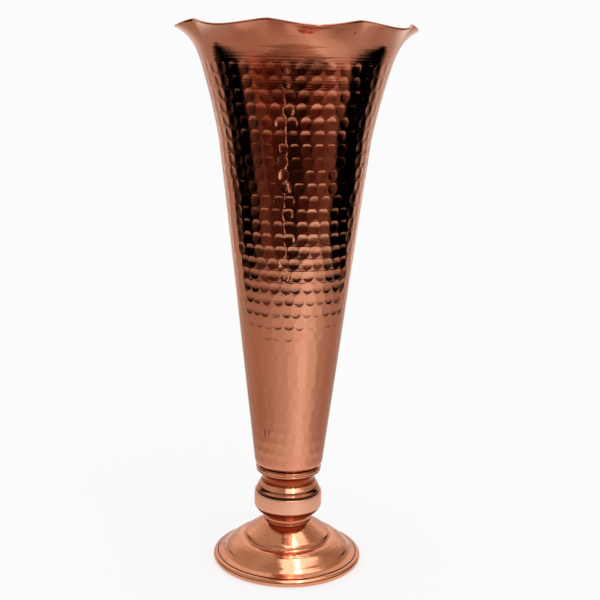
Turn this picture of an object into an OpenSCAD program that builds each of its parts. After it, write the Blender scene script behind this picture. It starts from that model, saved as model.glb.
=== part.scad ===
// Footed flower vase: a hammered trumpet body with a wavy lip, a turned stem with a hollow knop
// and a spun bell foot, drawn together by one threaded rod. Millimetres, +Z up, the origin on the
// axis at the level that the foot rests on.

/* [Vase] */
// Overall height, from the table to the crests of the lip
height = 300; // [240:5:340]
// Sheet thickness of the body
body_wall = 1.0; // [0.8:0.1:1.2]
// Sheet thickness of the stem shells and the foot
stem_wall = 1.0; // [0.8:0.1:1.2]

/* [Body] */
// Level of the body's flat underside
base_z = 57; // [56:0.5:60]
// Radius of the flat part of the underside
base_flat_r = 16.2; // [15:0.1:17]
// Radius of the rounded bottom corner
base_corner_r = 3; // [2:0.5:4]
// Half angle of the straight cone
cone_angle = 6.85; // [5:0.05:8]
// Bend radius where the flare leaves the cone
break_r = 60; // [40:5:80]
// Lean of the wall after that bend
break_angle = 10.8; // [9:0.1:12]
// Bend radius of the long flare
flare_r = 356; // [300:1:400]
// Lean of the wall at the top of the long flare
flare_angle = 16.8; // [15:0.1:18]
// Bend radius of the throat
throat_r = 68; // [50:1:90]
// Lean of the wall where the lip starts
throat_angle = 24; // [20:0.5:28]

/* [Lip] */
// Length of the turned-out lip along the sheet
lip_length = 16; // [12:0.5:18]
// Angle through which the lip turns outwards, halfway between a crest and a dip
lip_turn = 26; // [20:0.5:40]
// How much more the lip turns in a dip, and less on a crest
lip_wave = 17; // [0:1:18]
// Number of waves round the lip
lobes = 8; // [8, 16]
// Angle of the first crest from +X
lobe_phase = 31; // [0:0.5:45]
// Roundness of the crests, which come to a point as it nears nothing
crest_round = 0.1; // [0.05:0.05:1]

/* [Stem] */
// Radius of the collar's upper bead
collar_r = 18.5; // [17:0.1:19]
// Radius of the spigot on which the collar sits
spigot_r = 10; // [8:0.5:12]
// Level of the joint between the upper neck and the knop
neck_z = 46.9; // [46:0.1:47.5]
// Radius of the knop's matt band
knop_r = 19.1; // [18:0.1:20]
// Level of the knop band's upper edge
band_top_z = 41; // [40:0.1:42]
// Depth to which the knop's shoulder sits inside the band
knop_lap = 2.5; // [2:0.1:3]
// Level of the knop's flat underside
knop_base_z = 28.2; // [28:0.1:29]

/* [Foot] */
// Level of the foot's flat top
foot_top_z = 23.8; // [23:0.1:24.5]
// Radius of the foot's flat top
foot_top_r = 13.4; // [13:0.1:14]
// Radius at the middle of the rolled rim
rim_path_r = 40; // [38:0.5:42]
// Radius of the rolled rim's section
rim_section_r = 2.2; // [2:0.1:2.4]
// Radius of the wire inside the rim
wire_r = 1.4; // [1:0.1:1.6]

/* [Rod and fasteners] */
// Radius of the threaded rod
rod_r = 2.5; // [2:0.5:3]
// Across flats of both nuts
nut_flats = 8; // [8:0.5:10]
// Thickness of both nuts
nut_h = 4; // [3:0.5:5]
// Thickness of the rubber seal
seal_h = 1.5; // [1:0.5:2]
// Thickness of both steel washers
washer_h = 1.2; // [1:0.1:1.6]
// Radius of the upper washer
top_washer_r = 7.5; // [6:0.5:8]
// Radius of the large washer under the foot's top
foot_washer_r = 10; // [8:0.5:11]

/* [Hidden] */

$fn = 128;
fit = 0.05;                    // clearance where one piece slides into another
hole_r = rod_r + 0.1;          // rod hole in every piece
rim_z = rim_section_r - 0.1;   // the rim's section is cut flat by 0.1 where it rests
seal_z = base_z + body_wall;
top_washer_z = seal_z + seal_h;
top_nut_z = top_washer_z + washer_h;
rod_top_z = top_nut_z + nut_h + 3;
foot_washer_z = foot_top_z - stem_wall - washer_h;
foot_nut_z = foot_washer_z - nut_h;
rod_base_z = foot_nut_z - 3;
nut_corner_r = nut_flats / 2 / cos(30);

COPPER = [0.76, 0.44, 0.31];
TURNED_COPPER = [0.72, 0.38, 0.26];
MATT_COPPER = [0.80, 0.52, 0.40];
STEEL = [0.66, 0.67, 0.69];
RUBBER = [0.13, 0.13, 0.14];

// ---- Outlines -----------------------------------------------------------------------------
// A station is [r, z, lean]: a point of the outside and the wall's lean from the vertical there.

// Stations along an arc of radius bend that turns the wall from its lean at start to end_lean.
function turn_out(start, bend, end_lean, steps) = [
    for (i = [1:steps])
        let (lean = start[2] + (end_lean - start[2]) * i / steps)
        [start[0] + bend * (cos(start[2]) - cos(lean)),
         start[1] + bend * (sin(lean) - sin(start[2])), lean]
];

// Radius of an arc of the given length that turns through the given angle.
function bend_of(length, angle) = length / (angle * PI / 180);

// How far an arc of radius bend climbs as the wall turns from one lean to another.
function climb(bend, from, to) = bend * (sin(to) - sin(from));

crest_turn = lip_turn - lip_wave;
crest_lean = throat_angle + crest_turn;
flare_climb = climb(break_r, cone_angle, break_angle) + climb(flare_r, break_angle, flare_angle)
    + climb(throat_r, flare_angle, throat_angle);
lip_climb = climb(bend_of(lip_length, crest_turn), throat_angle, crest_lean)
    + body_wall * sin(crest_lean);
cone_top_z = height - flare_climb - lip_climb;

floor_line = [[hole_r, base_z, 90], [base_flat_r, base_z, 90]];
corner_line = turn_out(floor_line[1], -base_corner_r, cone_angle, 5);
cone_start = corner_line[len(corner_line) - 1];
cone_steps = 4;
cone_line = [
    for (i = [1:cone_steps])
        let (rise = (cone_top_z - cone_start[1]) * i / cone_steps)
        [cone_start[0] + rise * tan(cone_angle), cone_start[1] + rise, cone_angle]
];
break_line = turn_out(cone_line[cone_steps - 1], break_r, break_angle, 2);
flare_line = turn_out(break_line[1], flare_r, flare_angle, 5);
throat_line = turn_out(flare_line[4], throat_r, throat_angle, 3);
body_line = concat(floor_line, corner_line, cone_line, break_line, flare_line, throat_line);

// Place in the lip's wave, a given angle past a crest: +1 is a crest and -1 a dip.
function crest_at(angle) =
    1 - 2 * (norm([sin(lobes * angle / 2), crest_round]) - crest_round)
        / (norm([1, crest_round]) - crest_round);

// The whole outside at one place in the lip's wave.
function body_outline(crest) =
    let (turn = lip_turn - lip_wave * crest)
    concat(body_line, turn_out(throat_line[2], bend_of(lip_length, turn), throat_angle + turn, 6));

// The inside of the sheet at a station.
function inner(s) = [s[0] - body_wall * cos(s[2]), s[1] + body_wall * sin(s[2])];

function reversed(list) = [for (i = [len(list) - 1:-1:0]) list[i]];

// A closed [r, z] section of the sheet: up the outside and down the inside.
function body_section(crest) =
    let (outside = body_outline(crest))
    concat([for (s = outside) [s[0], s[1]]], reversed([for (s = outside) inner(s)]));

// ---- Shared shapes ------------------------------------------------------------------------

// A solid of revolution from an [r, z] outline.
module turned(outline) {
    rotate_extrude() polygon(outline);
}

// A flat ring.
module ring(z, h, outer_r, bore_r) {
    translate([0, 0, z]) difference() {
        cylinder(h = h, r = outer_r);
        translate([0, 0, -1]) cylinder(h = h + 2, r = bore_r);
    }
}

// A hexagon nut.
module nut(z) {
    translate([0, 0, z]) difference() {
        cylinder(h = nut_h, r = nut_corner_r, $fn = 6);
        translate([0, 0, -1]) cylinder(h = nut_h + 2, r = rod_r + fit);
    }
}

// ---- Body ---------------------------------------------------------------------------------

// The spun and hammered sheet, with its closed bottom and wavy lip.
module body_shell() {
    columns = 10 * lobes;
    sections = [
        for (j = [0:columns - 1]) body_section(crest_at(360 * j / columns))
    ];
    rings = len(sections[0]);
    points = [
        for (j = [0:columns - 1])
            let (a = lobe_phase + 360 * j / columns)
            for (p = sections[j]) [p[0] * cos(a), p[0] * sin(a), p[1]]
    ];
    faces = [
        for (j = [0:columns - 1], i = [0:rings - 1])
            let (
                here = j * rings, next = ((j + 1) % columns) * rings, up = (i + 1) % rings,
                a = here + i, b = next + i, c = next + up, d = here + up
            )
            for (face = [[a, c, b], [a, d, c]]) face
    ];
    color(COPPER) polyhedron(points = points, faces = faces);
}

// ---- Stem ---------------------------------------------------------------------------------

// Ring with two fine beads, which carries the body's bottom.
module collar_ring() {
    color(TURNED_COPPER) turned([
        [spigot_r, 52.2], [16.5, 52.2], [17.2, 52.9], [17.9, 53.4], [18.1, 54], [17.8, 54.5],
        [18.3, 54.9], [collar_r, 55.6], [18.3, 56.2], [17.6, 56.7], [base_flat_r, base_z],
        [spigot_r, base_z]
    ]);
}

// Concave spool between the collar and the knop, with a spigot through the collar.
module upper_neck() {
    color(TURNED_COPPER) turned([
        [hole_r, neck_z], [15.4, neck_z], [15.5, 47.4], [15.1, 48], [15.1, 48.9], [15.3, 50],
        [15.9, 51.2], [16.4, 52.2], [spigot_r - fit, 52.2], [spigot_r - fit, base_z],
        [hole_r, base_z]
    ]);
}

// Upper half of the hollow knop: a domed shoulder whose skirt sits inside the band.
module knop_shoulder() {
    skirt_r = knop_r - stem_wall - fit;
    skirt_z = band_top_z - knop_lap;
    color(TURNED_COPPER) turned([
        [hole_r, neck_z - stem_wall], [14.6, neck_z - stem_wall], [15.6, 44.4], [16.7, 42.5],
        [skirt_r - stem_wall, 41.4], [skirt_r - stem_wall, skirt_z], [skirt_r, skirt_z],
        [skirt_r, 41.6], [17.8, 42.6], [16.8, 44.4], [16, 45.8], [15.3, neck_z], [hole_r, neck_z]
    ]);
}

// Lower half of the hollow knop: a cup with an upright wall and a rounded underside.
module knop_band() {
    inner_r = knop_r - stem_wall;
    color(MATT_COPPER) turned([
        [hole_r, knop_base_z], [14.7, knop_base_z], [16.2, 29], [17.7, 30.4], [18.7, 32],
        [knop_r, 33.6], [knop_r, 40.6], [knop_r - 0.4, band_top_z], [inner_r, band_top_z],
        [inner_r, 33.8], [17.8, 32.4], [16.9, 31], [15.6, 29.8], [14.4, knop_base_z + stem_wall],
        [hole_r, knop_base_z + stem_wall]
    ]);
}

// Short waisted neck with a fine bead at its foot.
module lower_neck() {
    color(TURNED_COPPER) turned([
        [hole_r, foot_top_z], [13.5, foot_top_z], [13.8, 24.3], [13.6, 24.8], [13.2, 25.2],
        [13.1, 26], [13.4, 27], [14.4, knop_base_z], [hole_r, knop_base_z]
    ]);
}

// ---- Foot ---------------------------------------------------------------------------------

// Spun bell foot: a cone, a small step, a convex roll and a hollow flange.
module foot_shell() {
    outside = [
        [hole_r, foot_top_z], [foot_top_r, foot_top_z], [17.6, 20.9], [21.4, 18.2], [23.6, 16.3],
        [24.3, 15.3], [24.5, 14], [25.2, 13.6], [26.6, 13.5], [28, 13.1], [30, 12],
        [32.2, 10.4], [34.2, 8.4], [35, 7.4], [36.4, 6], [38, 4.9], [39.6, 4.2]
    ];
    inside = [
        [39.4, 3.2], [37.6, 3.9], [35.8, 5], [34.2, 6.7], [33.4, 7.7], [31.5, 9.6], [29.4, 11.1],
        [27.7, 12], [26.4, 12.4], [25, 12.6], [23.8, 13], [23.4, 13.8], [23.2, 14.9], [22.8, 15.7],
        [20.8, 17.4], [17, 20], [13.1, foot_top_z - stem_wall], [hole_r, foot_top_z - stem_wall]
    ];
    color(TURNED_COPPER) difference() {
        turned(concat(outside, inside));
        rim_torus(rim_section_r);
    }
}

// A full round ring on the rim's path.
module rim_torus(section_r) {
    translate([0, 0, rim_z]) rotate_extrude() translate([rim_path_r, 0]) circle(r = section_r);
}

// Rim folded round the foot's edge, with a narrow flat to rest on.
module foot_rim() {
    color(TURNED_COPPER) difference() {
        rim_torus(rim_section_r);
        rim_torus(wire_r + fit);
        translate([0, 0, -2]) cylinder(h = 2, r = rim_path_r + 5);
    }
}

// Wire round which the rim is folded.
module foot_wire() {
    color(STEEL) rim_torus(wire_r);
}

// ---- Rod and fasteners ----------------------------------------------------------------------

module tie_rod() {
    chamfer = 0.5;
    color(STEEL) turned([
        [0, rod_base_z], [rod_r - chamfer, rod_base_z], [rod_r, rod_base_z + chamfer],
        [rod_r, rod_top_z - chamfer], [rod_r - chamfer, rod_top_z], [0, rod_top_z]
    ]);
}

module seal_washer() {
    color(RUBBER) ring(seal_z, seal_h, top_washer_r + 0.5, hole_r);
}

module top_washer() {
    color(STEEL) ring(top_washer_z, washer_h, top_washer_r, hole_r);
}

module top_nut() {
    color(STEEL) nut(top_nut_z);
}

module foot_washer() {
    color(STEEL) ring(foot_washer_z, washer_h, foot_washer_r, hole_r);
}

module foot_nut() {
    color(STEEL) nut(foot_nut_z);
}

body_shell();
collar_ring();
upper_neck();
knop_shoulder();
knop_band();
lower_neck();
foot_shell();
foot_rim();
foot_wire();
tie_rod();
seal_washer();
top_washer();
top_nut();
foot_washer();
foot_nut();
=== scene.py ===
"""Looks of a footed flower vase in hammered copper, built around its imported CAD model.

The vase is a spun trumpet body with a wavy lip and rows of hammer marks, a turned stem with a
hollow knop, and a spun bell foot with a rolled rim. One threaded rod draws them together.
Lengths in the classes are millimetres, and a mesh is turned into metres as it is made. Only the
studio's lengths are metres.
"""

from __future__ import annotations

import logging
import math
from collections.abc import Callable, Sequence
from dataclasses import dataclass
from enum import Enum
from typing import NamedTuple

import bpy
import numpy as np
from mathutils import Matrix, Vector


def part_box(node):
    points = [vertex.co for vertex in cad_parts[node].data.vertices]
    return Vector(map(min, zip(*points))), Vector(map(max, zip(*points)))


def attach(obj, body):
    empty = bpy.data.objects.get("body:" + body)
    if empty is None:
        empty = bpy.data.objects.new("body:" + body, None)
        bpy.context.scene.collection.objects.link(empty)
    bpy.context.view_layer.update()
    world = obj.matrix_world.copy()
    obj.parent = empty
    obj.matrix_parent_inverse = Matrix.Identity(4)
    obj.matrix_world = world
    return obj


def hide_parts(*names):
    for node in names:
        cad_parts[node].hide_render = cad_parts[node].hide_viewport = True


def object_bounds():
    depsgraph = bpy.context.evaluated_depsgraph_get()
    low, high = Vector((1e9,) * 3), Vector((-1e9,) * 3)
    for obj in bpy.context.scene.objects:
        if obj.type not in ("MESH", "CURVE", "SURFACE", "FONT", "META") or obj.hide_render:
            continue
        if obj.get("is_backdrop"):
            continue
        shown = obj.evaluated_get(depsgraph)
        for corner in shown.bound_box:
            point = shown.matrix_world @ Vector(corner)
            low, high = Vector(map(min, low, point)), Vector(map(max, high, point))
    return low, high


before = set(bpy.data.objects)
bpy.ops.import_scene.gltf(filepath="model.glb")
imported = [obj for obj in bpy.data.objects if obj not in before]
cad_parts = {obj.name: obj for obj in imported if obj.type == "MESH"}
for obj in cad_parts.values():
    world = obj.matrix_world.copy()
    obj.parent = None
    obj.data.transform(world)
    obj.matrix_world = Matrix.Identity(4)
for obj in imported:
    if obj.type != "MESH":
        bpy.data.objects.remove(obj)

LOG = logging.getLogger("vase")
MM = 0.001
HOLE_R = 2.6
ROOT_BODY = "root"

Colour = tuple[float, float, float]
Place = tuple[float, float, float]
Socket = bpy.types.NodeSocket
Value = float | int | Socket

BLACK: Colour = (0.0, 0.0, 0.0)
# Dark brown for real small stains, and for painted shade in the body's bottom corner.
STAIN_AND_PAINTED_SHADE: Colour = (0.10, 0.04, 0.025)
# Dark red painted shade, where turned copper mirrors copper in the stem's recesses.
RED_PAINTED_SHADE: Colour = (0.34, 0.065, 0.022)
# Near black painted shade in the groove over the knop's band and in the foot's joint.
DARK_PAINTED_SHADE: Colour = (0.05, 0.018, 0.01)
# Dark red and black painted reflection, under the lip at the front.
PAINTED_REFLECTION_RED: Colour = (0.27, 0.06, 0.022)
PAINTED_REFLECTION_BLACK: Colour = (0.05, 0.015, 0.01)


class Axis(Enum):
    """Which way turning lines follow one another, as the share of the radius added to the level."""

    UPRIGHT = 0.0
    OUTWARD = -1.0
    FLARING = 0.6


class Stop(NamedTuple):
    """A colour at one place of a range."""

    place: float
    colour: Colour


class Zone(NamedTuple):
    """A stretch of a range with soft ends: 0 up to start, 1 from full to fade, 0 from end on."""

    start: float
    full: float
    fade: float
    end: float

    @classmethod
    def around(cls, low: float, high: float, soft: float) -> Zone:
        """Returns the stretch between two places, softened outside both by the same length."""
        return cls(low - soft, low, high, high + soft)


# ---- Outlines ---------------------------------------------------------------------------------


class Station(NamedTuple):
    """A point of the body's outside, with the wall's lean from the vertical in degrees."""

    r: float
    z: float
    lean: float

    def under(self, depth: float) -> tuple[float, float]:
        """Returns the (r, z) point at a depth into the sheet."""
        lean = math.radians(self.lean)
        return self.r - depth * math.cos(lean), self.z + depth * math.sin(lean)


class Knot(NamedTuple):
    """A corner of a turned outline, rounded with its own radius."""

    r: float
    z: float
    fillet: float = 0.15


def turn_out(start: Station, bend: float, end_lean: float, steps: int) -> list[Station]:
    """Follows an arc of the wall.

    Args:
        start: where the arc begins.
        bend: radius of the arc, negative where the wall closes in.
        end_lean: lean of the wall at the arc's end.
        steps: number of stations made.

    Returns:
        The stations after start.
    """
    turn = (end_lean - start.lean) / steps
    leans = [math.radians(start.lean + turn * i) for i in range(steps + 1)]
    first = leans[0]
    return [
        Station(
            start.r + bend * (math.cos(first) - math.cos(lean)),
            start.z + bend * (math.sin(lean) - math.sin(first)),
            math.degrees(lean),
        )
        for lean in leans[1:]
    ]


def straight_on(start: Station, end_z: float, steps: int) -> list[Station]:
    """Follows a straight stretch of the wall up to a level.

    Args:
        start: where the stretch begins.
        end_z: level where it ends.
        steps: number of stations made.

    Returns:
        The stations after start.
    """
    rise = (end_z - start.z) / steps
    slope = math.tan(math.radians(start.lean))
    return [
        Station(start.r + slope * rise * i, start.z + rise * i, start.lean)
        for i in range(1, steps + 1)
    ]


def fillet(before: Knot, at: Knot, after: Knot, arc_step: float = 12.0) -> list[tuple[float, float]]:
    """Rounds one corner of an outline.

    Args:
        before: the corner before it.
        at: the corner to round.
        after: the corner after it.
        arc_step: degrees between the points of the round.

    Returns:
        The points that take the corner's place.
    """
    here = Vector((at.r, at.z))
    back = Vector((before.r, before.z)) - here
    ahead = Vector((after.r, after.z)) - here
    half = back.angle(ahead, math.pi) / 2
    bend = math.pi - 2 * half
    if at.fillet <= 0 or bend < math.radians(2):
        return [(at.r, at.z)]
    reach = min(at.fillet / math.tan(half), 0.48 * back.length, 0.48 * ahead.length)
    radius = reach * math.tan(half)
    inward = (back.normalized() + ahead.normalized()).normalized()
    centre = here + inward * (radius / math.sin(half))
    start = here + back.normalized() * reach - centre
    end = here + ahead.normalized() * reach - centre
    steps = max(1, round(math.degrees(bend) / arc_step))
    turn = math.atan2(start.x * end.y - start.y * end.x, start.dot(end))
    points = []
    for i in range(steps + 1):
        a = turn * i / steps
        points.append(
            (
                centre.x + start.x * math.cos(a) - start.y * math.sin(a),
                centre.y + start.x * math.sin(a) + start.y * math.cos(a),
            )
        )
    return points


def rounded(knots: Sequence[Knot], longest: float = 2.0) -> np.ndarray:
    """Rounds every corner of a closed outline and splits its long sides.

    Args:
        knots: the corners in order.
        longest: longest side left in the outline.

    Returns:
        An array of (r, z) points.
    """
    count = len(knots)
    corners: list[tuple[float, float]] = []
    for i, knot in enumerate(knots):
        corners += fillet(knots[i - 1], knot, knots[(i + 1) % count])
    points: list[tuple[float, float]] = []
    for i, (r, z) in enumerate(corners):
        next_r, next_z = corners[(i + 1) % len(corners)]
        run, rise = next_r - r, next_z - z
        parts = max(1, math.ceil(math.hypot(run, rise) / longest))
        points += [(r + run * k / parts, z + rise * k / parts) for k in range(parts)]
    return np.array(points)


# ---- Meshes -----------------------------------------------------------------------------------


def new_piece(
    name: str, points: np.ndarray, faces: Sequence[Sequence[int]], crease: float = 35.0
) -> bpy.types.Object:
    """Makes a smooth-shaded piece whose faces point outwards.

    Args:
        name: the piece's name.
        points: its vertices in millimetres.
        faces: its faces as lists of vertex numbers.
        crease: bend in degrees past which an edge is left sharp.

    Returns:
        The linked object, at the origin.
    """
    mesh = bpy.data.meshes.new(name)
    mesh.from_pydata((points * MM).tolist(), [], faces)
    mesh.validate()
    if enclosed_volume(mesh) < 0:
        mesh.flip_normals()
    mesh.shade_smooth()
    mesh.set_sharp_from_angle(angle=math.radians(crease))
    piece = bpy.data.objects.new(name, mesh)
    bpy.context.scene.collection.objects.link(piece)
    return piece


def enclosed_volume(mesh: bpy.types.Mesh) -> float:
    """Measures the volume inside a closed mesh.

    Args:
        mesh: the mesh.

    Returns:
        The volume, negative where the mesh is inside out.
    """
    mesh.calc_loop_triangles()
    corners = np.empty(len(mesh.loop_triangles) * 3, np.int32)
    mesh.loop_triangles.foreach_get("vertices", corners)
    places = np.empty(len(mesh.vertices) * 3)
    mesh.vertices.foreach_get("co", places)
    a, b, c = places.reshape(-1, 3)[corners.reshape(-1, 3)].transpose(1, 0, 2)
    return float(np.einsum("ij,ij->i", a, np.cross(b, c)).sum() / 6)


def round_grid(sections: np.ndarray, phase: float = 0.0) -> tuple[np.ndarray, list[tuple[int, ...]]]:
    """Joins closed (r, z) sections, evenly spaced round the axis, into a ring-shaped skin.

    Args:
        sections: array of shape (columns, stations, 2).
        phase: angle of the first section in degrees.

    Returns:
        The vertices and the faces.
    """
    columns, stations, _ = sections.shape
    angle = np.radians(phase) + 2 * np.pi * np.arange(columns) / columns
    r, z = sections[..., 0], sections[..., 1]
    points = np.stack((r * np.cos(angle)[:, None], r * np.sin(angle)[:, None], z), axis=-1)
    here = np.arange(columns * stations).reshape(columns, stations)
    across = np.roll(here, -1, axis=0)
    up = np.roll(here, -1, axis=1)
    both = np.roll(across, -1, axis=1)
    faces = np.stack((here, across, both, up), axis=-1).reshape(-1, 4)
    return points.reshape(-1, 3), [tuple(face) for face in faces.tolist()]


def turned_piece(name: str, outline: np.ndarray, segments: int = 160) -> bpy.types.Object:
    """Makes a piece of revolution with a hole through it.

    Args:
        name: the piece's name.
        outline: its closed (r, z) section in millimetres.
        segments: number of sections round the axis.

    Returns:
        The piece.
    """
    points, faces = round_grid(np.repeat(outline[None], segments, axis=0))
    return new_piece(name, points, faces)


def levels(node: str) -> tuple[float, float]:
    """Returns a CAD node's lowest and highest level in millimetres."""
    low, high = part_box(node)
    return low[2] / MM, high[2] / MM


def stand_in_for(
    piece: bpy.types.Object, node: str, material: bpy.types.Material
) -> bpy.types.Object:
    """Dresses a detailed piece and puts it in its CAD node's place, on the vase's only body.

    Args:
        piece: the detailed piece.
        node: the CAD node that it replaces.
        material: the piece's one material.

    Returns:
        The piece.
    """
    piece.data.materials.clear()
    piece.data.materials.append(material)
    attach(piece, ROOT_BODY)
    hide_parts(node)
    LOG.info("%s: %d faces", piece.name, len(piece.data.polygons))
    return piece


# ---- Node trees -------------------------------------------------------------------------------


class Sums:
    """Writes arithmetic as the nodes of one tree."""

    def __init__(self, tree: bpy.types.NodeTree) -> None:
        """Starts writing into a tree."""
        self.tree = tree

    def put(self, kind: str, **settings: object) -> bpy.types.Node:
        """Adds a node.

        Args:
            kind: the node's type.
            settings: its own settings, by name.

        Returns:
            The node.
        """
        node = self.tree.nodes.new(kind)
        for key, value in settings.items():
            setattr(node, key, value)
        return node

    def feed(self, socket: Socket, value: object) -> None:
        """Links a socket to another one, or sets it to a constant.

        Args:
            socket: the input to feed.
            value: the other socket, or the constant.
        """
        if isinstance(value, bpy.types.NodeSocket):
            self.tree.links.new(value, socket)
        else:
            socket.default_value = value

    def fill(self, node: bpy.types.Node, values: dict[str, object]) -> None:
        """Feeds a node's named inputs."""
        for label, value in values.items():
            self.feed(node.inputs[label], value)

    def __call__(self, operation: str, *values: Value) -> Socket:
        """Adds a Math node, as in sums("ADD", a, b).

        Args:
            operation: the node's operation.
            values: its inputs in order.

        Returns:
            The result.
        """
        node = self.put("ShaderNodeMath", operation=operation)
        for socket, value in zip(node.inputs, values):
            self.feed(socket, value)
        return node.outputs[0]

    def split(self, vector: Socket) -> tuple[Socket, Socket, Socket]:
        """Takes a vector apart.

        Args:
            vector: the vector.

        Returns:
            Its three parts.
        """
        node = self.put("ShaderNodeSeparateXYZ")
        self.feed(node.inputs[0], vector)
        return tuple(node.outputs)

    def ramp(self, value: Value, low: Value, high: Value) -> Socket:
        """Steps smoothly from 0 to 1. With low above high it steps down.

        Args:
            value: the number.
            low: where the step is still 0.
            high: where it has reached 1.

        Returns:
            The step.
        """
        node = self.put("ShaderNodeMapRange", interpolation_type="SMOOTHSTEP")
        for socket, setting in zip(node.inputs, (value, low, high, 0.0, 1.0)):
            self.feed(socket, setting)
        return node.outputs[0]

    def zone(self, value: Value, zone: Zone, unit: float = 1.0) -> Socket:
        """Returns how far a value is inside a zone that is given in multiples of a unit."""
        start, full, fade, end = (place * unit for place in zone)
        return self("MULTIPLY", self.ramp(value, start, full), self.ramp(value, end, fade))

    def product(self, *values: Value) -> Socket:
        """Multiplies numbers.

        Args:
            values: two numbers or more.

        Returns:
            Their product.
        """
        total = values[0]
        for value in values[1:]:
            total = self("MULTIPLY", total, value)
        return total

    def reach(self, x: Value, y: Value) -> Socket:
        """Returns the distance of (x, y) from the upright axis."""
        return self("SQRT", self("MULTIPLY_ADD", x, x, self("MULTIPLY", y, y)))

    def blend_value(self, share: Value, first: Value, second: Value) -> Socket:
        """Returns a mix of two numbers."""
        return self("MULTIPLY_ADD", self("SUBTRACT", second, first), share, first)

    def blend(self, share: Value, first: object, second: object) -> Socket:
        """Mixes two colours.

        Args:
            share: the second colour's share.
            first: a colour.
            second: another colour.

        Returns:
            The mix.
        """
        node = self.put("ShaderNodeMix", data_type="RGBA")
        self.feed(node.inputs["Factor"], share)
        colours = [socket for socket in node.inputs if socket.type == "RGBA"]
        for socket, colour in zip(colours, (first, second)):
            self.feed(socket, (*colour, 1.0) if isinstance(colour, tuple) else colour)
        return next(socket for socket in node.outputs if socket.type == "RGBA")

    def bands(self, value: Value, low: float, high: float, stops: Sequence[Stop]) -> Socket:
        """Returns a colour that runs smoothly through stops along a range.

        Args:
            value: the place in the range.
            low: the range's start.
            high: the range's end.
            stops: the colours, each at its place.

        Returns:
            The colour.
        """
        node = self.put("ShaderNodeValToRGB")
        elements = node.color_ramp.elements
        node.color_ramp.interpolation = "EASE"
        elements.remove(elements[-1])
        for number, stop in enumerate(stops):
            place = (stop.place - low) / (high - low)
            element = elements.new(place) if number else elements[0]
            element.position = place
            element.color = (*stop.colour, 1.0)
        self.feed(node.inputs[0], self("DIVIDE", self("SUBTRACT", value, low), high - low))
        return node.outputs["Color"]

    def scatter(self, x: Value, y: Value, seed: Value) -> tuple[Socket, Socket, Socket]:
        """Draws random numbers that belong to a pair of whole numbers.

        Args:
            x: the first whole number.
            y: the second.
            seed: chooses the draw.

        Returns:
            Three numbers between 0 and 1.
        """
        pair = self.put("ShaderNodeCombineXYZ")
        self.fill(pair, {"X": x, "Y": y})
        node = self.put("ShaderNodeTexWhiteNoise", noise_dimensions="4D")
        self.fill(node, {"Vector": pair.outputs[0], "W": seed})
        return self.split(node.outputs["Color"])

    def noise(self, vector: Socket, scale: Value, detail: float = 2.0) -> Socket:
        """Adds a noise that changes in every direction.

        Args:
            vector: the place.
            scale: changes in a metre.
            detail: how many finer layers it has.

        Returns:
            The noise, between 0 and 1.
        """
        node = self.put("ShaderNodeTexNoise")
        self.fill(node, {"Vector": vector, "Scale": scale, "Detail": detail})
        return node.outputs[0]

    def line_noise(self, place: Socket, scale: Value, detail: float = 2.0) -> Socket:
        """Adds a noise that changes along one number only.

        Args:
            place: that number.
            scale: changes in a metre.
            detail: how many finer layers it has.

        Returns:
            The noise, between 0 and 1.
        """
        node = self.put("ShaderNodeTexNoise", noise_dimensions="1D")
        self.fill(node, {"W": place, "Scale": scale, "Detail": detail})
        return node.outputs[0]


def new_group(
    name: str, kind: str, inputs: dict[str, tuple[str, object]], outputs: dict[str, str]
) -> Sums:
    """Starts a node group with named sockets.

    Args:
        name: the group's name.
        kind: ShaderNodeTree or GeometryNodeTree.
        inputs: each input's short type and default.
        outputs: each output's short type.

    Returns:
        A writer for the group's tree.
    """
    tree = bpy.data.node_groups.new(name, kind)
    for label, (short, default) in inputs.items():
        socket = tree.interface.new_socket(label, in_out="INPUT", socket_type=f"NodeSocket{short}")
        if default is not None:
            socket.default_value = default
    for label, short in outputs.items():
        tree.interface.new_socket(label, in_out="OUTPUT", socket_type=f"NodeSocket{short}")
    return Sums(tree)


def ends(sums: Sums) -> tuple[bpy.types.Node, bpy.types.Node]:
    """Adds a group's input and output nodes and returns them."""
    return sums.put("NodeGroupInput"), sums.put("NodeGroupOutput")


# ---- Hammer marks -----------------------------------------------------------------------------


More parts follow.
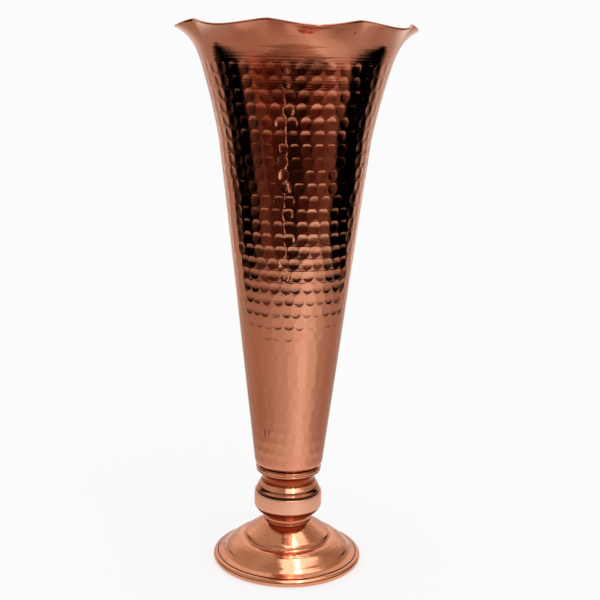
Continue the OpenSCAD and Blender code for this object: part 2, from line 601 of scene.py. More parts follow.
@dataclass(frozen=True)
class HammerMarks:
    """Rows of round marks that a planishing hammer leaves round the body.

    A mark's middle is off by up to irregularity of its spacing, and up or down by
    rise_irregularity of that share of a row. Each row starts up to row_drift of a spacing round
    from the others. A mark's half-width is at most crowding of its spacing. A blow's force is
    within force_spread of force, flatness levels the floor of a mark, and deepening is the part
    of the way up over which the marks grow deeper.
    """

    first_row_z: float = 64.6
    row_pitch: float = 6.625
    rows: int = 33
    marks_top: int = 43
    marks_bottom: int = 26
    half_width: float = 2.75
    half_height: float = 3.12
    irregularity: float = 0.09
    rise_irregularity: float = 0.4
    row_drift: float = 0.35
    crowding: float = 0.51
    force: float = 0.80
    force_spread: float = 0.25
    flatness: float = 0.6
    deepening: tuple[float, float] = (0.15, 0.75)
    sheet_wobble: float = 0.10
    wobbles_per_metre: float = 45.0
    seed: int = 7

    def layout(self) -> dict[str, tuple[str, float]]:
        """Names the inputs that lay the marks out.

        Returns:
            Each input's short type and value.
        """
        return {
            "First Row": ("Float", self.first_row_z * MM),
            "Row Pitch": ("Float", self.row_pitch * MM),
            "Rows": ("Float", float(self.rows)),
            "Marks Top": ("Float", float(self.marks_top)),
            "Marks Bottom": ("Float", float(self.marks_bottom)),
            "Half Width": ("Float", self.half_width * MM),
            "Half Height": ("Float", self.half_height * MM),
            "Irregularity": ("Float", self.irregularity),
            "Seed": ("Float", float(self.seed)),
        }

    def strike_group(self, kind: str) -> bpy.types.NodeTree:
        """Builds the group that finds the mark on one side of a point.

        Args:
            kind: ShaderNodeTree or GeometryNodeTree.

        Returns:
            A group whose Closeness is 1 or so in the mark's middle and below 0 outside it.
        """
        inputs = {label: ("Float", 0.0) for label in ("Turns", "Radius", "Level", "Side")}
        sums = new_group("hammer_strike", kind, inputs | self.layout(), {"Closeness": "Float"})
        given, made = ends(sums)
        get = given.outputs
        row = sums("ROUND", get["Level"])
        share = sums("DIVIDE", row, get["Rows"])
        extra = sums("SUBTRACT", get["Marks Top"], get["Marks Bottom"])
        count = sums("ROUND", sums("MULTIPLY_ADD", extra, share, get["Marks Bottom"]))
        start = sums("MULTIPLY", sums.scatter(row, -1.0, get["Seed"])[0], self.row_drift)
        place = sums("MULTIPLY_ADD", get["Turns"], count, start)
        cell = sums("ADD", sums("FLOOR", place), get["Side"])
        chance = sums.scatter(row, sums("FLOORED_MODULO", cell, count), get["Seed"])
        aside, above, force = (sums("MULTIPLY_ADD", number, 2.0, -1.0) for number in chance)
        width = sums("DIVIDE", sums("MULTIPLY", get["Radius"], math.tau), count)
        off = sums("MULTIPLY", aside, get["Irregularity"])
        across = sums("MULTIPLY", sums("SUBTRACT", sums("SUBTRACT", place, cell), off), width)
        widest = sums("MINIMUM", get["Half Width"], sums("MULTIPLY", width, self.crowding))
        across = sums("DIVIDE", across, widest)
        off = sums.product(get["Irregularity"], self.rise_irregularity, above)
        along = sums("SUBTRACT", sums("SUBTRACT", get["Level"], row), off)
        along = sums("DIVIDE", sums("MULTIPLY", along, get["Row Pitch"]), get["Half Height"])
        away = sums("MULTIPLY_ADD", across, across, sums("MULTIPLY", along, along))
        blow = sums("MULTIPLY_ADD", force, self.force_spread, self.force)
        near = sums("MULTIPLY", sums("SUBTRACT", 1.0, away), blow)
        inside = sums("MULTIPLY", sums("GREATER_THAN", row, -0.5), sums("LESS_THAN", row, get["Rows"]))
        sums.feed(made.inputs["Closeness"], sums("MULTIPLY", near, inside))
        return sums.tree

    def field_group(self, kind: str) -> bpy.types.NodeTree:
        """Builds the group that gives the depth of the marks at a point.

        Args:
            kind: ShaderNodeTree or GeometryNodeTree.

        Returns:
            A group whose Depth runs between 0 and its two named depths.
        """
        strike = self.strike_group(kind)
        inputs = {
            "Position": ("Vector", None),
            "Depth Top": ("Float", 1.0),
            "Depth Bottom": ("Float", 1.0),
        }
        sums = new_group("hammer_field", kind, inputs | self.layout(), {"Depth": "Float"})
        given, made = ends(sums)
        get = given.outputs
        x, y, z = sums.split(get["Position"])
        turns = sums("MULTIPLY_ADD", sums("ARCTAN2", y, x), 1 / math.tau, 0.5)
        level = sums("DIVIDE", sums("SUBTRACT", z, get["First Row"]), get["Row Pitch"])
        beside = {"Turns": turns, "Radius": sums.reach(x, y), "Level": level}
        closest: Value = 0.0
        for side in (0.0, 1.0):
            node = sums.put(strike.bl_idname.replace("NodeTree", "NodeGroup"), node_tree=strike)
            sums.fill(node, {label: get[label] for label in self.layout()})
            sums.fill(node, beside | {"Side": side})
            closest = sums("MAXIMUM", closest, node.outputs[0])
        share = sums.ramp(sums("DIVIDE", level, get["Rows"]), *self.deepening)
        floor = sums("MULTIPLY_ADD", closest, -self.flatness, 1.0 + self.flatness)
        closest = sums("MULTIPLY", closest, floor)
        gain = sums("SUBTRACT", get["Depth Top"], get["Depth Bottom"])
        depth = sums("MULTIPLY", closest, sums("MULTIPLY_ADD", gain, share, get["Depth Bottom"]))
        sums.feed(made.inputs["Depth"], depth)
        return sums.tree

    def beating_tree(self, depth_top: float, depth_bottom: float) -> bpy.types.NodeTree:
        """Builds the tree that beats the marks into the outside of a plain shell.

        Args:
            depth_top: depth of the highest marks in millimetres.
            depth_bottom: depth of the lowest marks in millimetres.

        Returns:
            The Geometry Nodes tree.
        """
        field = self.field_group("GeometryNodeTree")
        inputs = {
            "Geometry": ("Geometry", None),
            "Copper": ("Material", None),
            "Wobble": ("Float", self.sheet_wobble * MM),
            "Depth Top": ("Float", depth_top * MM),
            "Depth Bottom": ("Float", depth_bottom * MM),
        }
        inputs |= self.layout()
        sums = new_group("hammer_marks", "GeometryNodeTree", inputs, {"Geometry": "Geometry"})
        given, made = ends(sums)
        get = given.outputs
        position = sums.put("GeometryNodeInputPosition").outputs[0]
        node = sums.put("GeometryNodeGroup", node_tree=field)
        passed_on = ("Depth Top", "Depth Bottom", *self.layout())
        sums.fill(node, {"Position": position} | {label: get[label] for label in passed_on})
        sway = sums("SUBTRACT", sums.noise(position, self.wobbles_per_metre), 0.5)
        sway = sums("MULTIPLY", sway, get["Wobble"])
        outside = sums.put("GeometryNodeInputNamedAttribute", data_type="FLOAT")
        outside.inputs["Name"].default_value = "outside"
        outer = sums("MAXIMUM", outside.outputs["Attribute"], 0.0)
        along = sums.put("ShaderNodeVectorMath", operation="SCALE")
        sums.feed(along.inputs[0], sums.put("GeometryNodeInputNormal").outputs[0])
        shift = sums("MULTIPLY", sums("SUBTRACT", sway, node.outputs[0]), outer)
        sums.feed(along.inputs["Scale"], shift)
        beaten = sums.put("GeometryNodeSetPosition")
        sums.fill(beaten, {"Geometry": get["Geometry"], "Offset": along.outputs[0]})
        real = sums.put("GeometryNodeRealizeInstances")
        sums.feed(real.inputs[0], beaten.outputs[0])
        coated = sums.put("GeometryNodeSetMaterial")
        sums.fill(coated, {"Geometry": real.outputs[0], "Material": get["Copper"]})
        sums.feed(made.inputs["Geometry"], coated.outputs[0])
        return sums.tree


def beat(piece: bpy.types.Object, tree: bpy.types.NodeTree, inputs: dict[str, object]) -> None:
    """Runs a Geometry Nodes tree over a piece and keeps the result as its plain mesh.

    Args:
        piece: the piece, whose mesh is replaced.
        tree: the tree.
        inputs: values for the tree's named inputs.
    """
    modifier = piece.modifiers.new("nodes", "NODES")
    modifier.node_group = tree
    for item in tree.interface.items_tree:
        if item.item_type == "SOCKET" and item.in_out == "INPUT" and item.name in inputs:
            modifier[item.identifier] = inputs[item.name]
    graph = bpy.context.evaluated_depsgraph_get()
    made = bpy.data.meshes.new_from_object(piece.evaluated_get(graph), depsgraph=graph)
    piece.modifiers.remove(modifier)
    plain, piece.data = piece.data, made
    made.name = piece.name
    bpy.data.meshes.remove(plain)


# ---- Finishes ---------------------------------------------------------------------------------


def new_material(name: str) -> tuple[bpy.types.Material, Sums, bpy.types.Node, Socket]:
    """Starts a material that reads the piece's Object coordinates.

    Args:
        name: the material's name.

    Returns:
        The material, the writer of its tree, its Principled shader and the Object coordinates.
    """
    material = bpy.data.materials.new(name)
    material.use_nodes = True
    sums = Sums(material.node_tree)
    shader = material.node_tree.nodes["Principled BSDF"]
    return material, sums, shader, sums.put("ShaderNodeTexCoord").outputs["Object"]


class Effects:
    """The shader groups that the finishes share, each built once.

    Lines are fine over coarse, and tarnish is slow patches with small flecks. A scale here
    multiplies the finish's own, and a pair is the noise between which a shape comes in.
    """

    coarse_scale: float = 0.22
    coarse_share: float = 0.8
    fine_share: float = 0.45
    streak_noise: tuple[float, float] = (0.35, 0.7)
    patch_noise: tuple[float, float] = (0.42, 0.72)
    fleck_scale: float = 9.0
    fleck_noise: tuple[float, float] = (0.62, 0.74)

    def __init__(self) -> None:
        """Builds every group."""
        self.lines = self.turning_lines()
        self.tone = self.copper_tone()

    def turning_lines(self) -> bpy.types.NodeTree:
        """Builds fine rings round the axis, as a lathe tool or a burnisher leaves them.

        Returns:
            A group whose Height is for a bump and whose Streak dulls the polish.
        """
        sums = new_group(
            "turning_lines",
            "ShaderNodeTree",
            {
                "Vector": ("Vector", None),
                "Outward Share": ("Float", 0.0),
                "Lines per Metre": ("Float", 1500.0),
            },
            {"Height": "Float", "Streak": "Float"},
        )
        given, made = ends(sums)
        get = given.outputs
        x, y, z = sums.split(get["Vector"])
        place = sums("MULTIPLY_ADD", sums.reach(x, y), get["Outward Share"], z)
        fine = sums.line_noise(place, get["Lines per Metre"], 3.0)
        scale = sums("MULTIPLY", get["Lines per Metre"], self.coarse_scale)
        coarse = sums.line_noise(place, scale, 1.0)
        fine = sums("MULTIPLY", fine, self.fine_share)
        height = sums("MULTIPLY_ADD", coarse, self.coarse_share, fine)
        sums.fill(made, {"Height": height, "Streak": sums.ramp(coarse, *self.streak_noise)})
        return sums.tree

    def copper_tone(self) -> bpy.types.NodeTree:
        """Builds the slow drift from bright to browned copper, with small tarnished flecks.

        Returns:
            A group with the Color, and the Dulling that goes with it.
        """
        sums = new_group(
            "copper_tone",
            "ShaderNodeTree",
            {
                "Vector": ("Vector", None),
                "Bright": ("Color", (0.8, 0.4, 0.25, 1.0)),
                "Browned": ("Color", (0.5, 0.2, 0.1, 1.0)),
                "Patch Scale": ("Float", 30.0),
                "Browning": ("Float", 0.3),
                "Flecks": ("Float", 0.1),
            },
            {"Color": "Color", "Dulling": "Float"},
        )
        given, made = ends(sums)
        get = given.outputs
        patches = sums.noise(get["Vector"], get["Patch Scale"], 4.0)
        scale = sums("MULTIPLY", get["Patch Scale"], self.fleck_scale)
        flecks = sums.ramp(sums.noise(get["Vector"], scale, 3.0), *self.fleck_noise)
        share = sums("MULTIPLY", sums.ramp(patches, *self.patch_noise), get["Browning"])
        share = sums("MINIMUM", sums("MULTIPLY_ADD", flecks, get["Flecks"], share), 1.0)
        colour = sums.blend(share, get["Bright"], get["Browned"])
        sums.fill(made, {"Color": colour, "Dulling": share})
        return sums.tree


@dataclass(frozen=True)
class CopperFinish:
    """How one kind of copper surface looks: its tones, its polish and its turning lines."""

    name: str
    bright: Colour
    browned: Colour
    roughness: float
    dull_roughness: float
    line_axis: Axis
    lines: float
    line_depth: float
    patch_scale: float = 30.0
    browning: float = 0.25
    flecks: float = 0.1
    streak_roughness: float = 0.02

    def material(self, effects: Effects) -> bpy.types.Material:
        """Builds the material.

        Args:
            effects: the shared shader groups.

        Returns:
            A material that reads the piece's Object coordinates.
        """
        material, sums, shader, place = new_material(self.name)
        tone = sums.put("ShaderNodeGroup", node_tree=effects.tone)
        browning = {
            "Vector": place,
            "Bright": (*self.bright, 1.0),
            "Browned": (*self.browned, 1.0),
            "Patch Scale": self.patch_scale,
            "Browning": self.browning,
            "Flecks": self.flecks,
        }
        sums.fill(tone, browning)
        rings = sums.put("ShaderNodeGroup", node_tree=effects.lines)
        turning = {
            "Vector": place,
            "Outward Share": self.line_axis.value,
            "Lines per Metre": self.lines,
        }
        sums.fill(rings, turning)
        height = sums("MULTIPLY", rings.outputs["Height"], self.line_depth)
        colour, height = self.extra(sums, place, tone.outputs["Color"], height)
        spread = self.dull_roughness - self.roughness
        rough = sums("MULTIPLY_ADD", tone.outputs["Dulling"], spread, self.roughness)
        rough = sums("MULTIPLY_ADD", rings.outputs["Streak"], self.streak_roughness, rough)
        bump = sums.put("ShaderNodeBump")
        sums.fill(bump, {"Strength": 1.0, "Distance": MM, "Height": height})
        surface = {
            "Base Color": colour,
            "Metallic": 1.0,
            "Roughness": rough,
            "Normal": bump.outputs["Normal"],
        }
        sums.fill(shader, surface)
        return material

    def extra(
        self, sums: Sums, place: Socket, colour: Socket, height: Socket
    ) -> tuple[Socket, Socket]:
        """Adds what only one kind of finish has.

        Args:
            sums: the writer of the material's tree, not used here.
            place: Object coordinates, not used here.
            colour: the colour so far.
            height: the height so far in millimetres.

        Returns:
            The new colour and height, here unchanged.
        """
        return colour, height


@dataclass(frozen=True)
class PaintedShadeRing:
    """A ring of painted shade round a turned piece, between two levels and two radii."""

    low: float
    high: float
    inner: float
    outer: float
    soft: float
    strength: float
    tone: Colour = RED_PAINTED_SHADE

    def share(self, sums: Sums, place: Socket) -> Socket:
        """Masks the painted shade.

        Args:
            sums: the writer of the material's tree.
            place: Object coordinates.

        Returns:
            How much of the film lies at a point.
        """
        x, y, z = sums.split(place)
        upright = Zone.around(self.low, self.high, self.soft)
        outward = Zone.around(self.inner, self.outer, self.soft)
        inside = sums.product(sums.zone(z, upright, MM), sums.zone(sums.reach(x, y), outward, MM))
        return sums("MULTIPLY", inside, self.strength)


@dataclass(frozen=True)
class TurnedFinish(CopperFinish):
    """Turned copper, faintly dinged, with rings of painted shade in its recesses.

    The painted shade lies round the upper neck, at the foot of the lower neck, in the groove over
    the knop's band, and in the joint between the foot and its rim: dark red where copper mirrors
    copper, near black in the groove and the joint.
    """

    dings_per_metre: float = 380.0
    ding_depth: float = 0.05
    # Painted shade: dark red round the upper neck and the collar's skirt, and under the lower neck's
    # bead.
    shade_rings: tuple[PaintedShadeRing, ...] = (
        PaintedShadeRing(47.6, 53.4, 13.0, 18.0, 0.4, 0.93),
        PaintedShadeRing(24.4, 25.4, 10.0, 14.0, 0.7, 0.5),
        # Painted shade, near black: the groove over the knop's band and the joint between foot and rim.
        PaintedShadeRing(41.0, 41.9, 17.6, 18.6, 0.12, 1.0, DARK_PAINTED_SHADE),
        PaintedShadeRing(3.9, 4.45, 39.3, 39.9, 0.12, 0.97, DARK_PAINTED_SHADE),
    )

    def extra(
        self, sums: Sums, place: Socket, colour: Socket, height: Socket
    ) -> tuple[Socket, Socket]:
        """Adds the rings of painted shade and the dings.

        Args:
            sums: the writer of the material's tree.
            place: Object coordinates.
            colour: the colour so far.
            height: the height so far in millimetres.

        Returns:
            The new colour and height.
        """
        # Blends in each ring of painted shade.
        for shade_ring in self.shade_rings:
            colour = sums.blend(shade_ring.share(sums, place), colour, shade_ring.tone)
        dings = sums.noise(place, self.dings_per_metre)
        return colour, sums("MULTIPLY_ADD", dings, self.ding_depth, height)


@dataclass(frozen=True)
class StainAndPaintedReflection:
    """A dark spot on the body, at a bearing to the right of the front in degrees: a small spot is a
    real stain, a large torn one a painted reflection.

    A small spot is ragged all round. A large one has a torn value, and its edge is then torn
    along the turning lines.
    """

    bearing: float
    z: float
    width: float
    height: float
    strength: float
    tone: Colour = STAIN_AND_PAINTED_SHADE
    torn: float = 0.0

    def share(self, sums: Sums, place: Socket) -> Socket:
        """Masks the spot.

        Args:
            sums: the writer of the material's tree.
            place: Object coordinates.

        Returns:
            How much of the spot lies at a point.
        """
        x, y, z = sums.split(place)
        angle = sums("ARCTAN2", x, sums("MULTIPLY", y, -1.0))
        aside = sums("SUBTRACT", angle, math.radians(self.bearing))
        across = sums("DIVIDE", sums("MULTIPLY", aside, sums.reach(x, y)), self.width * MM)
        along = sums("DIVIDE", sums("SUBTRACT", z, self.z * MM), self.height * MM)
        if self.torn:
            rough, tear, core = sums.line_noise(z, 800.0), self.torn, 0.85
        else:
            rough, tear, core = sums.noise(place, 700.0), 0.5, 0.3
        away = sums("MULTIPLY_ADD", sums("SUBTRACT", rough, 0.5), tear, sums.reach(across, along))
        return sums("MULTIPLY", sums.ramp(away, 1.0, core), self.strength)


@dataclass(frozen=True)
class HammeredFinish(CopperFinish):
    """Copper under the hammer: crisp marks, burnished flare, painted shade up the flare's front and
    in the bottom corner, stains, and painted reflections under the lip.

    Depths and heights are of the bump. The burnisher's coarse lines grow up the body and most in
    the plain burnished zone under the lip. Steps are the small ledges between rows of marks.
    """

    marks: HammerMarks = HammerMarks()
    depth_top: float = 0.09
    depth_bottom: float = 0.065
    burnished: Zone = Zone(262.0, 268.0, 286.0, 290.0)
    burnish_gain: float = 2.0
    burnish_lines: float = 750.0
    burnish_depth: float = 0.040
    coarse_rise: tuple[float, float] = (180.0, 225.0)
    coarse_below: float = 0.1
    coarse_above: float = 0.35
    coarse_burnished: float = 0.55
    step_height: float = 0.060
    step_share: float = 0.10
    stepped: Zone = Zone(164.0, 174.0, 215.0, 275.0)
    step_elsewhere: float = 0.15
    mottle_per_metre: float = 150.0
    mottle_depth: float = 0.10
    # Painted shade up the front of the flare, and also the tone of the random grain.
    flare_shade_and_grain_tone: Colour = (0.62, 0.235, 0.14)
    flare_shade_rise: tuple[float, float] = (165.0, 255.0)
    flare_shade_facing: tuple[float, float] = (0.80, 0.99)
    flare_shade_behind: float = 0.05
    # Painted shade in the body's bottom corner, where it sits on the collar: its levels and share.
    painted_corner_shade_levels: tuple[float, float] = (59.0, 57.6)
    painted_corner_shade_share: float = 0.9
    grain_per_metre: float = 900.0
    grain_share: float = 0.42
    stains_and_painted_reflections: tuple[StainAndPaintedReflection, ...] = (
        # The first two, large and torn, are painted reflection under the lip at the front; the rest are
        # small real stains.
        StainAndPaintedReflection(-2.0, 274.0, 21.0, 15.5, 0.85, PAINTED_REFLECTION_RED, torn=0.9),
        StainAndPaintedReflection(10.0, 278.0, 8.0, 5.0, 0.75, PAINTED_REFLECTION_BLACK, torn=1.2),
        StainAndPaintedReflection(-38.0, 79.5, 0.9, 3.6, 0.75),
        StainAndPaintedReflection(-31.0, 80.5, 0.8, 3.0, 0.6),
        StainAndPaintedReflection(29.0, 294.0, 0.7, 0.8, 0.9),
        StainAndPaintedReflection(65.0, 66.5, 0.7, 1.6, 0.8),
        StainAndPaintedReflection(150.0, 120.0, 2.6, 2.0, 0.4),
        StainAndPaintedReflection(-120.0, 190.0, 1.8, 2.6, 0.4),
    )

    def extra(
        self, sums: Sums, place: Socket, colour: Socket, height: Socket
    ) -> tuple[Socket, Socket]:
        """Adds the burnished lines, the marks, the painted shade up the flare and in the bottom corner,
        and the stains and painted reflections.

        Args:
            sums: the writer of the material's tree.
            place: Object coordinates.
            colour: the colour so far.
            height: the height so far in millimetres.

        Returns:
            The new colour and height.
        """
        height = self.burnish(sums, place, height)
        height = self.strike(sums, place, height)
        # Painted shade: the flare's front darker and browner.
        colour = self.flare(sums, place, colour)
        # Painted shade: darker towards the body's bottom, where it sits on the collar.
        low, high = (level * MM for level in self.painted_corner_shade_levels)
        painted_corner_shade = sums.ramp(sums.split(place)[2], low, high)
        colour = sums.blend(sums("MULTIPLY", painted_corner_shade, self.painted_corner_shade_share), colour, STAIN_AND_PAINTED_SHADE)
        # Real stains, and painted reflection under the lip.
        for spot in self.stains_and_painted_reflections:
            colour = sums.blend(spot.share(sums, place), colour, spot.tone)
        grain = sums("MULTIPLY", sums.noise(place, self.grain_per_metre), self.grain_share)
        colour = sums.blend(grain, colour, self.flare_shade_and_grain_tone)
        mottle = sums.noise(place, self.mottle_per_metre)
        return colour, sums("MULTIPLY_ADD", mottle, self.mottle_depth, height)

    def burnish(self, sums: Sums, place: Socket, height: Socket) -> Socket:
        """Adds the burnisher's coarse lines, strongest under the lip.

        Args:
            sums: the writer of the material's tree.
            place: Object coordinates.
            height: the height so far in millimetres.

        Returns:
            The new height.
        """
        z = sums.split(place)[2]
        band = sums.zone(z, self.burnished, MM)
        height = sums("MULTIPLY", height, sums("MULTIPLY_ADD", band, self.burnish_gain, 1.0))
        coarse = sums("MULTIPLY", sums.line_noise(z, self.burnish_lines), self.burnish_depth)
        low, high = (level * MM for level in self.coarse_rise)
        upper = sums("MULTIPLY_ADD", sums.ramp(z, low, high), self.coarse_above, self.coarse_below)
        share = sums("MULTIPLY_ADD", band, self.coarse_burnished, upper)
        return sums("MULTIPLY_ADD", coarse, share, height)

    def strike(self, sums: Sums, place: Socket, height: Socket) -> Socket:
        """Adds the marks and their rows' ledges, which stand the other way round on the inside.

        Args:
            sums: the writer of the material's tree.
            place: Object coordinates.
            height: the height so far in millimetres.

        Returns:
            The new height.
        """
        z = sums.split(place)[2]
        field = sums.put("ShaderNodeGroup", node_tree=self.marks.field_group("ShaderNodeTree"))
        depths = {"Depth Top": self.depth_top, "Depth Bottom": self.depth_bottom}
        sums.fill(field, {"Position": place} | depths)
        outside = sums.put("ShaderNodeAttribute", attribute_name="outside").outputs["Fac"]
        level = sums("SUBTRACT", z, self.marks.first_row_z * MM)
        level = sums("DIVIDE", level, self.marks.row_pitch * MM)
        level = sums("FRACT", sums("ADD", level, 0.5))
        step = sums("SUBTRACT", level, sums.ramp(level, 1.0 - self.step_share, 1.0))
        among = sums.blend_value(sums.zone(z, self.stepped, MM), self.step_elsewhere, 1.0)
        step = sums.product(step, among, self.step_height)
        return sums("MULTIPLY_ADD", sums("SUBTRACT", step, field.outputs[0]), outside, height)

    def flare(self, sums: Sums, place: Socket, colour: Socket) -> Socket:
        """Paints shade up the flare, mostly on the side that faces forward: a browner base colour that
        stands in for the darker reflection the copper shows there.

        Args:
            sums: the writer of the material's tree.
            place: Object coordinates.
            colour: the colour so far.

        Returns:
            The new colour.
        """
        x, y, z = sums.split(place)
        facing = sums("DIVIDE", sums("MULTIPLY", y, -1.0), sums.reach(x, y))
        front = sums.blend_value(sums.ramp(facing, *self.flare_shade_facing), self.flare_shade_behind, 1.0)
        low, high = (level * MM for level in self.flare_shade_rise)
        share = sums("MULTIPLY", sums.ramp(z, low, high), front)
        return sums.blend(share, colour, self.flare_shade_and_grain_tone)


@dataclass(frozen=True)
class CloudyFinish:
    """How the hidden rod, fasteners and seal look: one tone clouded with another."""

    name: str
    colour: Colour
    cloudy: Colour
    metallic: float
    roughness: float
    cloud_roughness: float
    clouds_per_metre: float
    cloud_detail: float
    cloud_noise: tuple[float, float]

    def material(self) -> bpy.types.Material:
        """Builds the material.

        Returns:
            A material that reads the piece's Object coordinates.
        """
        material, sums, shader, place = new_material(self.name)
        cloud = sums.noise(place, self.clouds_per_metre, self.cloud_detail)
        surface = {
            "Base Color": sums.blend(sums.ramp(cloud, *self.cloud_noise), self.colour, self.cloudy),
            "Metallic": self.metallic,
            "Roughness": sums("MULTIPLY_ADD", cloud, self.cloud_roughness, self.roughness),
        }
        sums.fill(shader, surface)
        return material


# ---- Body -------------------------------------------------------------------------------------


@dataclass
class TrumpetBody:
    """The spun sheet body: closed bottom, straight cone, flare and wavy lip."""

    node: str = "body_shell"
    wall: float = 1.0
    base_flat_r: float = 16.2
    corner_r: float = 3.0
    cone_angle: float = 6.85
    break_r: float = 60.0
    break_angle: float = 10.8
    flare_r: float = 356.0
    flare_angle: float = 16.8
    throat_r: float = 68.0
    throat_angle: float = 24.0
    lip_length: float = 16.0
    lip_turn: float = 26.0
    lip_wave: float = 17.0
    lobes: int = 8
    lobe_phase: float = 31.0
    crest_round: float = 0.1
    columns_per_lobe: int = 38
    step: float = 0.92
    edge_round: float = 0.28
    dent_top: float = 0.15
    dent_bottom: float = 0.04

    def __post_init__(self) -> None:
        """Takes the levels of the bottom and the crests from the CAD model."""
        self.base_z, self.top_z = levels(self.node)

    def climb(self, bend: float, start: float, end: float) -> float:
        """Returns how far an arc of the wall rises between two leans."""
        return bend * (math.sin(math.radians(end)) - math.sin(math.radians(start)))

    def cone_top_z(self) -> float:
        """Works out how tall the cone is, so that the crests reach their height.

        Returns:
            The level of the cone's top.
        """
        turn = self.lip_turn - self.lip_wave
        lean = self.throat_angle + turn
        rise = self.climb(self.break_r, self.cone_angle, self.break_angle)
        rise += self.climb(self.flare_r, self.break_angle, self.flare_angle)
        rise += self.climb(self.throat_r, self.flare_angle, self.throat_angle)
        rise += self.climb(self.lip_length / math.radians(turn), self.throat_angle, lean)
        return self.top_z - rise - self.wall * math.sin(math.radians(lean))

    def crest_at(self, angle: float) -> float:
        """Returns +1 on a crest of the lip and -1 in a dip, at an angle past a crest in degrees."""
        wave = math.hypot(math.sin(math.radians(self.lobes * angle / 2)), self.crest_round)
        return 1 - 2 * (wave - self.crest_round) / (math.hypot(1.0, self.crest_round) - self.crest_round)

    def outside(self, crest: float, fine: bool) -> list[Station]:
        """Follows the outside from the rod hole to the lip.

        Args:
            crest: +1 on a crest of the lip and -1 in a dip.
            fine: True for stations close enough to carry the hammer marks.

        Returns:
            The stations, bottom first.
        """
        step = self.step if fine else 8 * self.step
        turn = self.lip_turn - self.lip_wave * crest
        arcs = (
            (self.break_r, self.break_angle),
            (self.flare_r, self.flare_angle),
            (self.throat_r, self.throat_angle),
            (self.lip_length / math.radians(turn), self.throat_angle + turn),
        )
        line = [
            Station(HOLE_R, self.base_z, 90.0),
            Station(self.base_flat_r / 2, self.base_z, 90.0),
            Station(self.base_flat_r, self.base_z, 90.0),
        ]
        line += turn_out(line[-1], -self.corner_r, self.cone_angle, 6)
        top = self.cone_top_z()
        line += straight_on(line[-1], top, round((top - line[-1].z) / step))
        for bend, lean in arcs:
            length = bend * math.radians(lean - line[-1].lean)
            line += turn_out(line[-1], bend, lean, max(3, round(length / step)))
        return line

    def section(self, crest: float) -> tuple[np.ndarray, np.ndarray]:
        """Closes the sheet's section at one angle.

        Args:
            crest: +1 on a crest of the lip and -1 in a dip.

        Returns:
            The (r, z) points, and for each of them 1 on the outside or -1 on the inside.
        """
        outer = self.outside(crest, fine=True)
        inner = self.outside(crest, fine=False)
        last = outer[-1]
        lean = math.radians(last.lean)
        edge = []
        for share in (0.2, 0.5, 0.8):
            r, z = last.under(self.wall * share)
            bulge = self.edge_round * (1 - (2 * share - 1) ** 2)
            edge.append((r + bulge * math.sin(lean), z + bulge * math.cos(lean)))
        inside = [station.under(self.wall) for station in reversed(inner)]
        outline = [(station.r, station.z) for station in outer] + edge + inside
        marked = -np.ones(len(outline))
        marked[: len(outer)] = 1.0
        return np.array(outline), marked

    def plain_shell(self) -> bpy.types.Object:
        """Builds the shell before it is hammered, with its outside marked by an attribute.

        Returns:
            The linked shell.
        """
        columns = self.lobes * self.columns_per_lobe
        made = [self.section(self.crest_at(360.0 * j / columns)) for j in range(columns)]
        points, faces = round_grid(np.array([outline for outline, _ in made]), self.lobe_phase)
        shell = new_piece(self.node + "_copper", points, faces, crease=50.0)
        outside = shell.data.attributes.new("outside", "FLOAT", "POINT")
        outside.data.foreach_set("value", np.concatenate([marked for _, marked in made]))
        return shell

    def build(self, marks: HammerMarks, copper: bpy.types.Material) -> bpy.types.Object:
        """Builds the hammered body.

        Args:
            marks: the rows of hammer marks.
            copper: the material, which tells the outside from the inside by an attribute.

        Returns:
            The finished piece.
        """
        shell = self.plain_shell()
        beat(shell, marks.beating_tree(self.dent_top, self.dent_bottom), {"Copper": copper})
        return stand_in_for(shell, self.node, copper)


# ---- Stem -------------------------------------------------------------------------------------


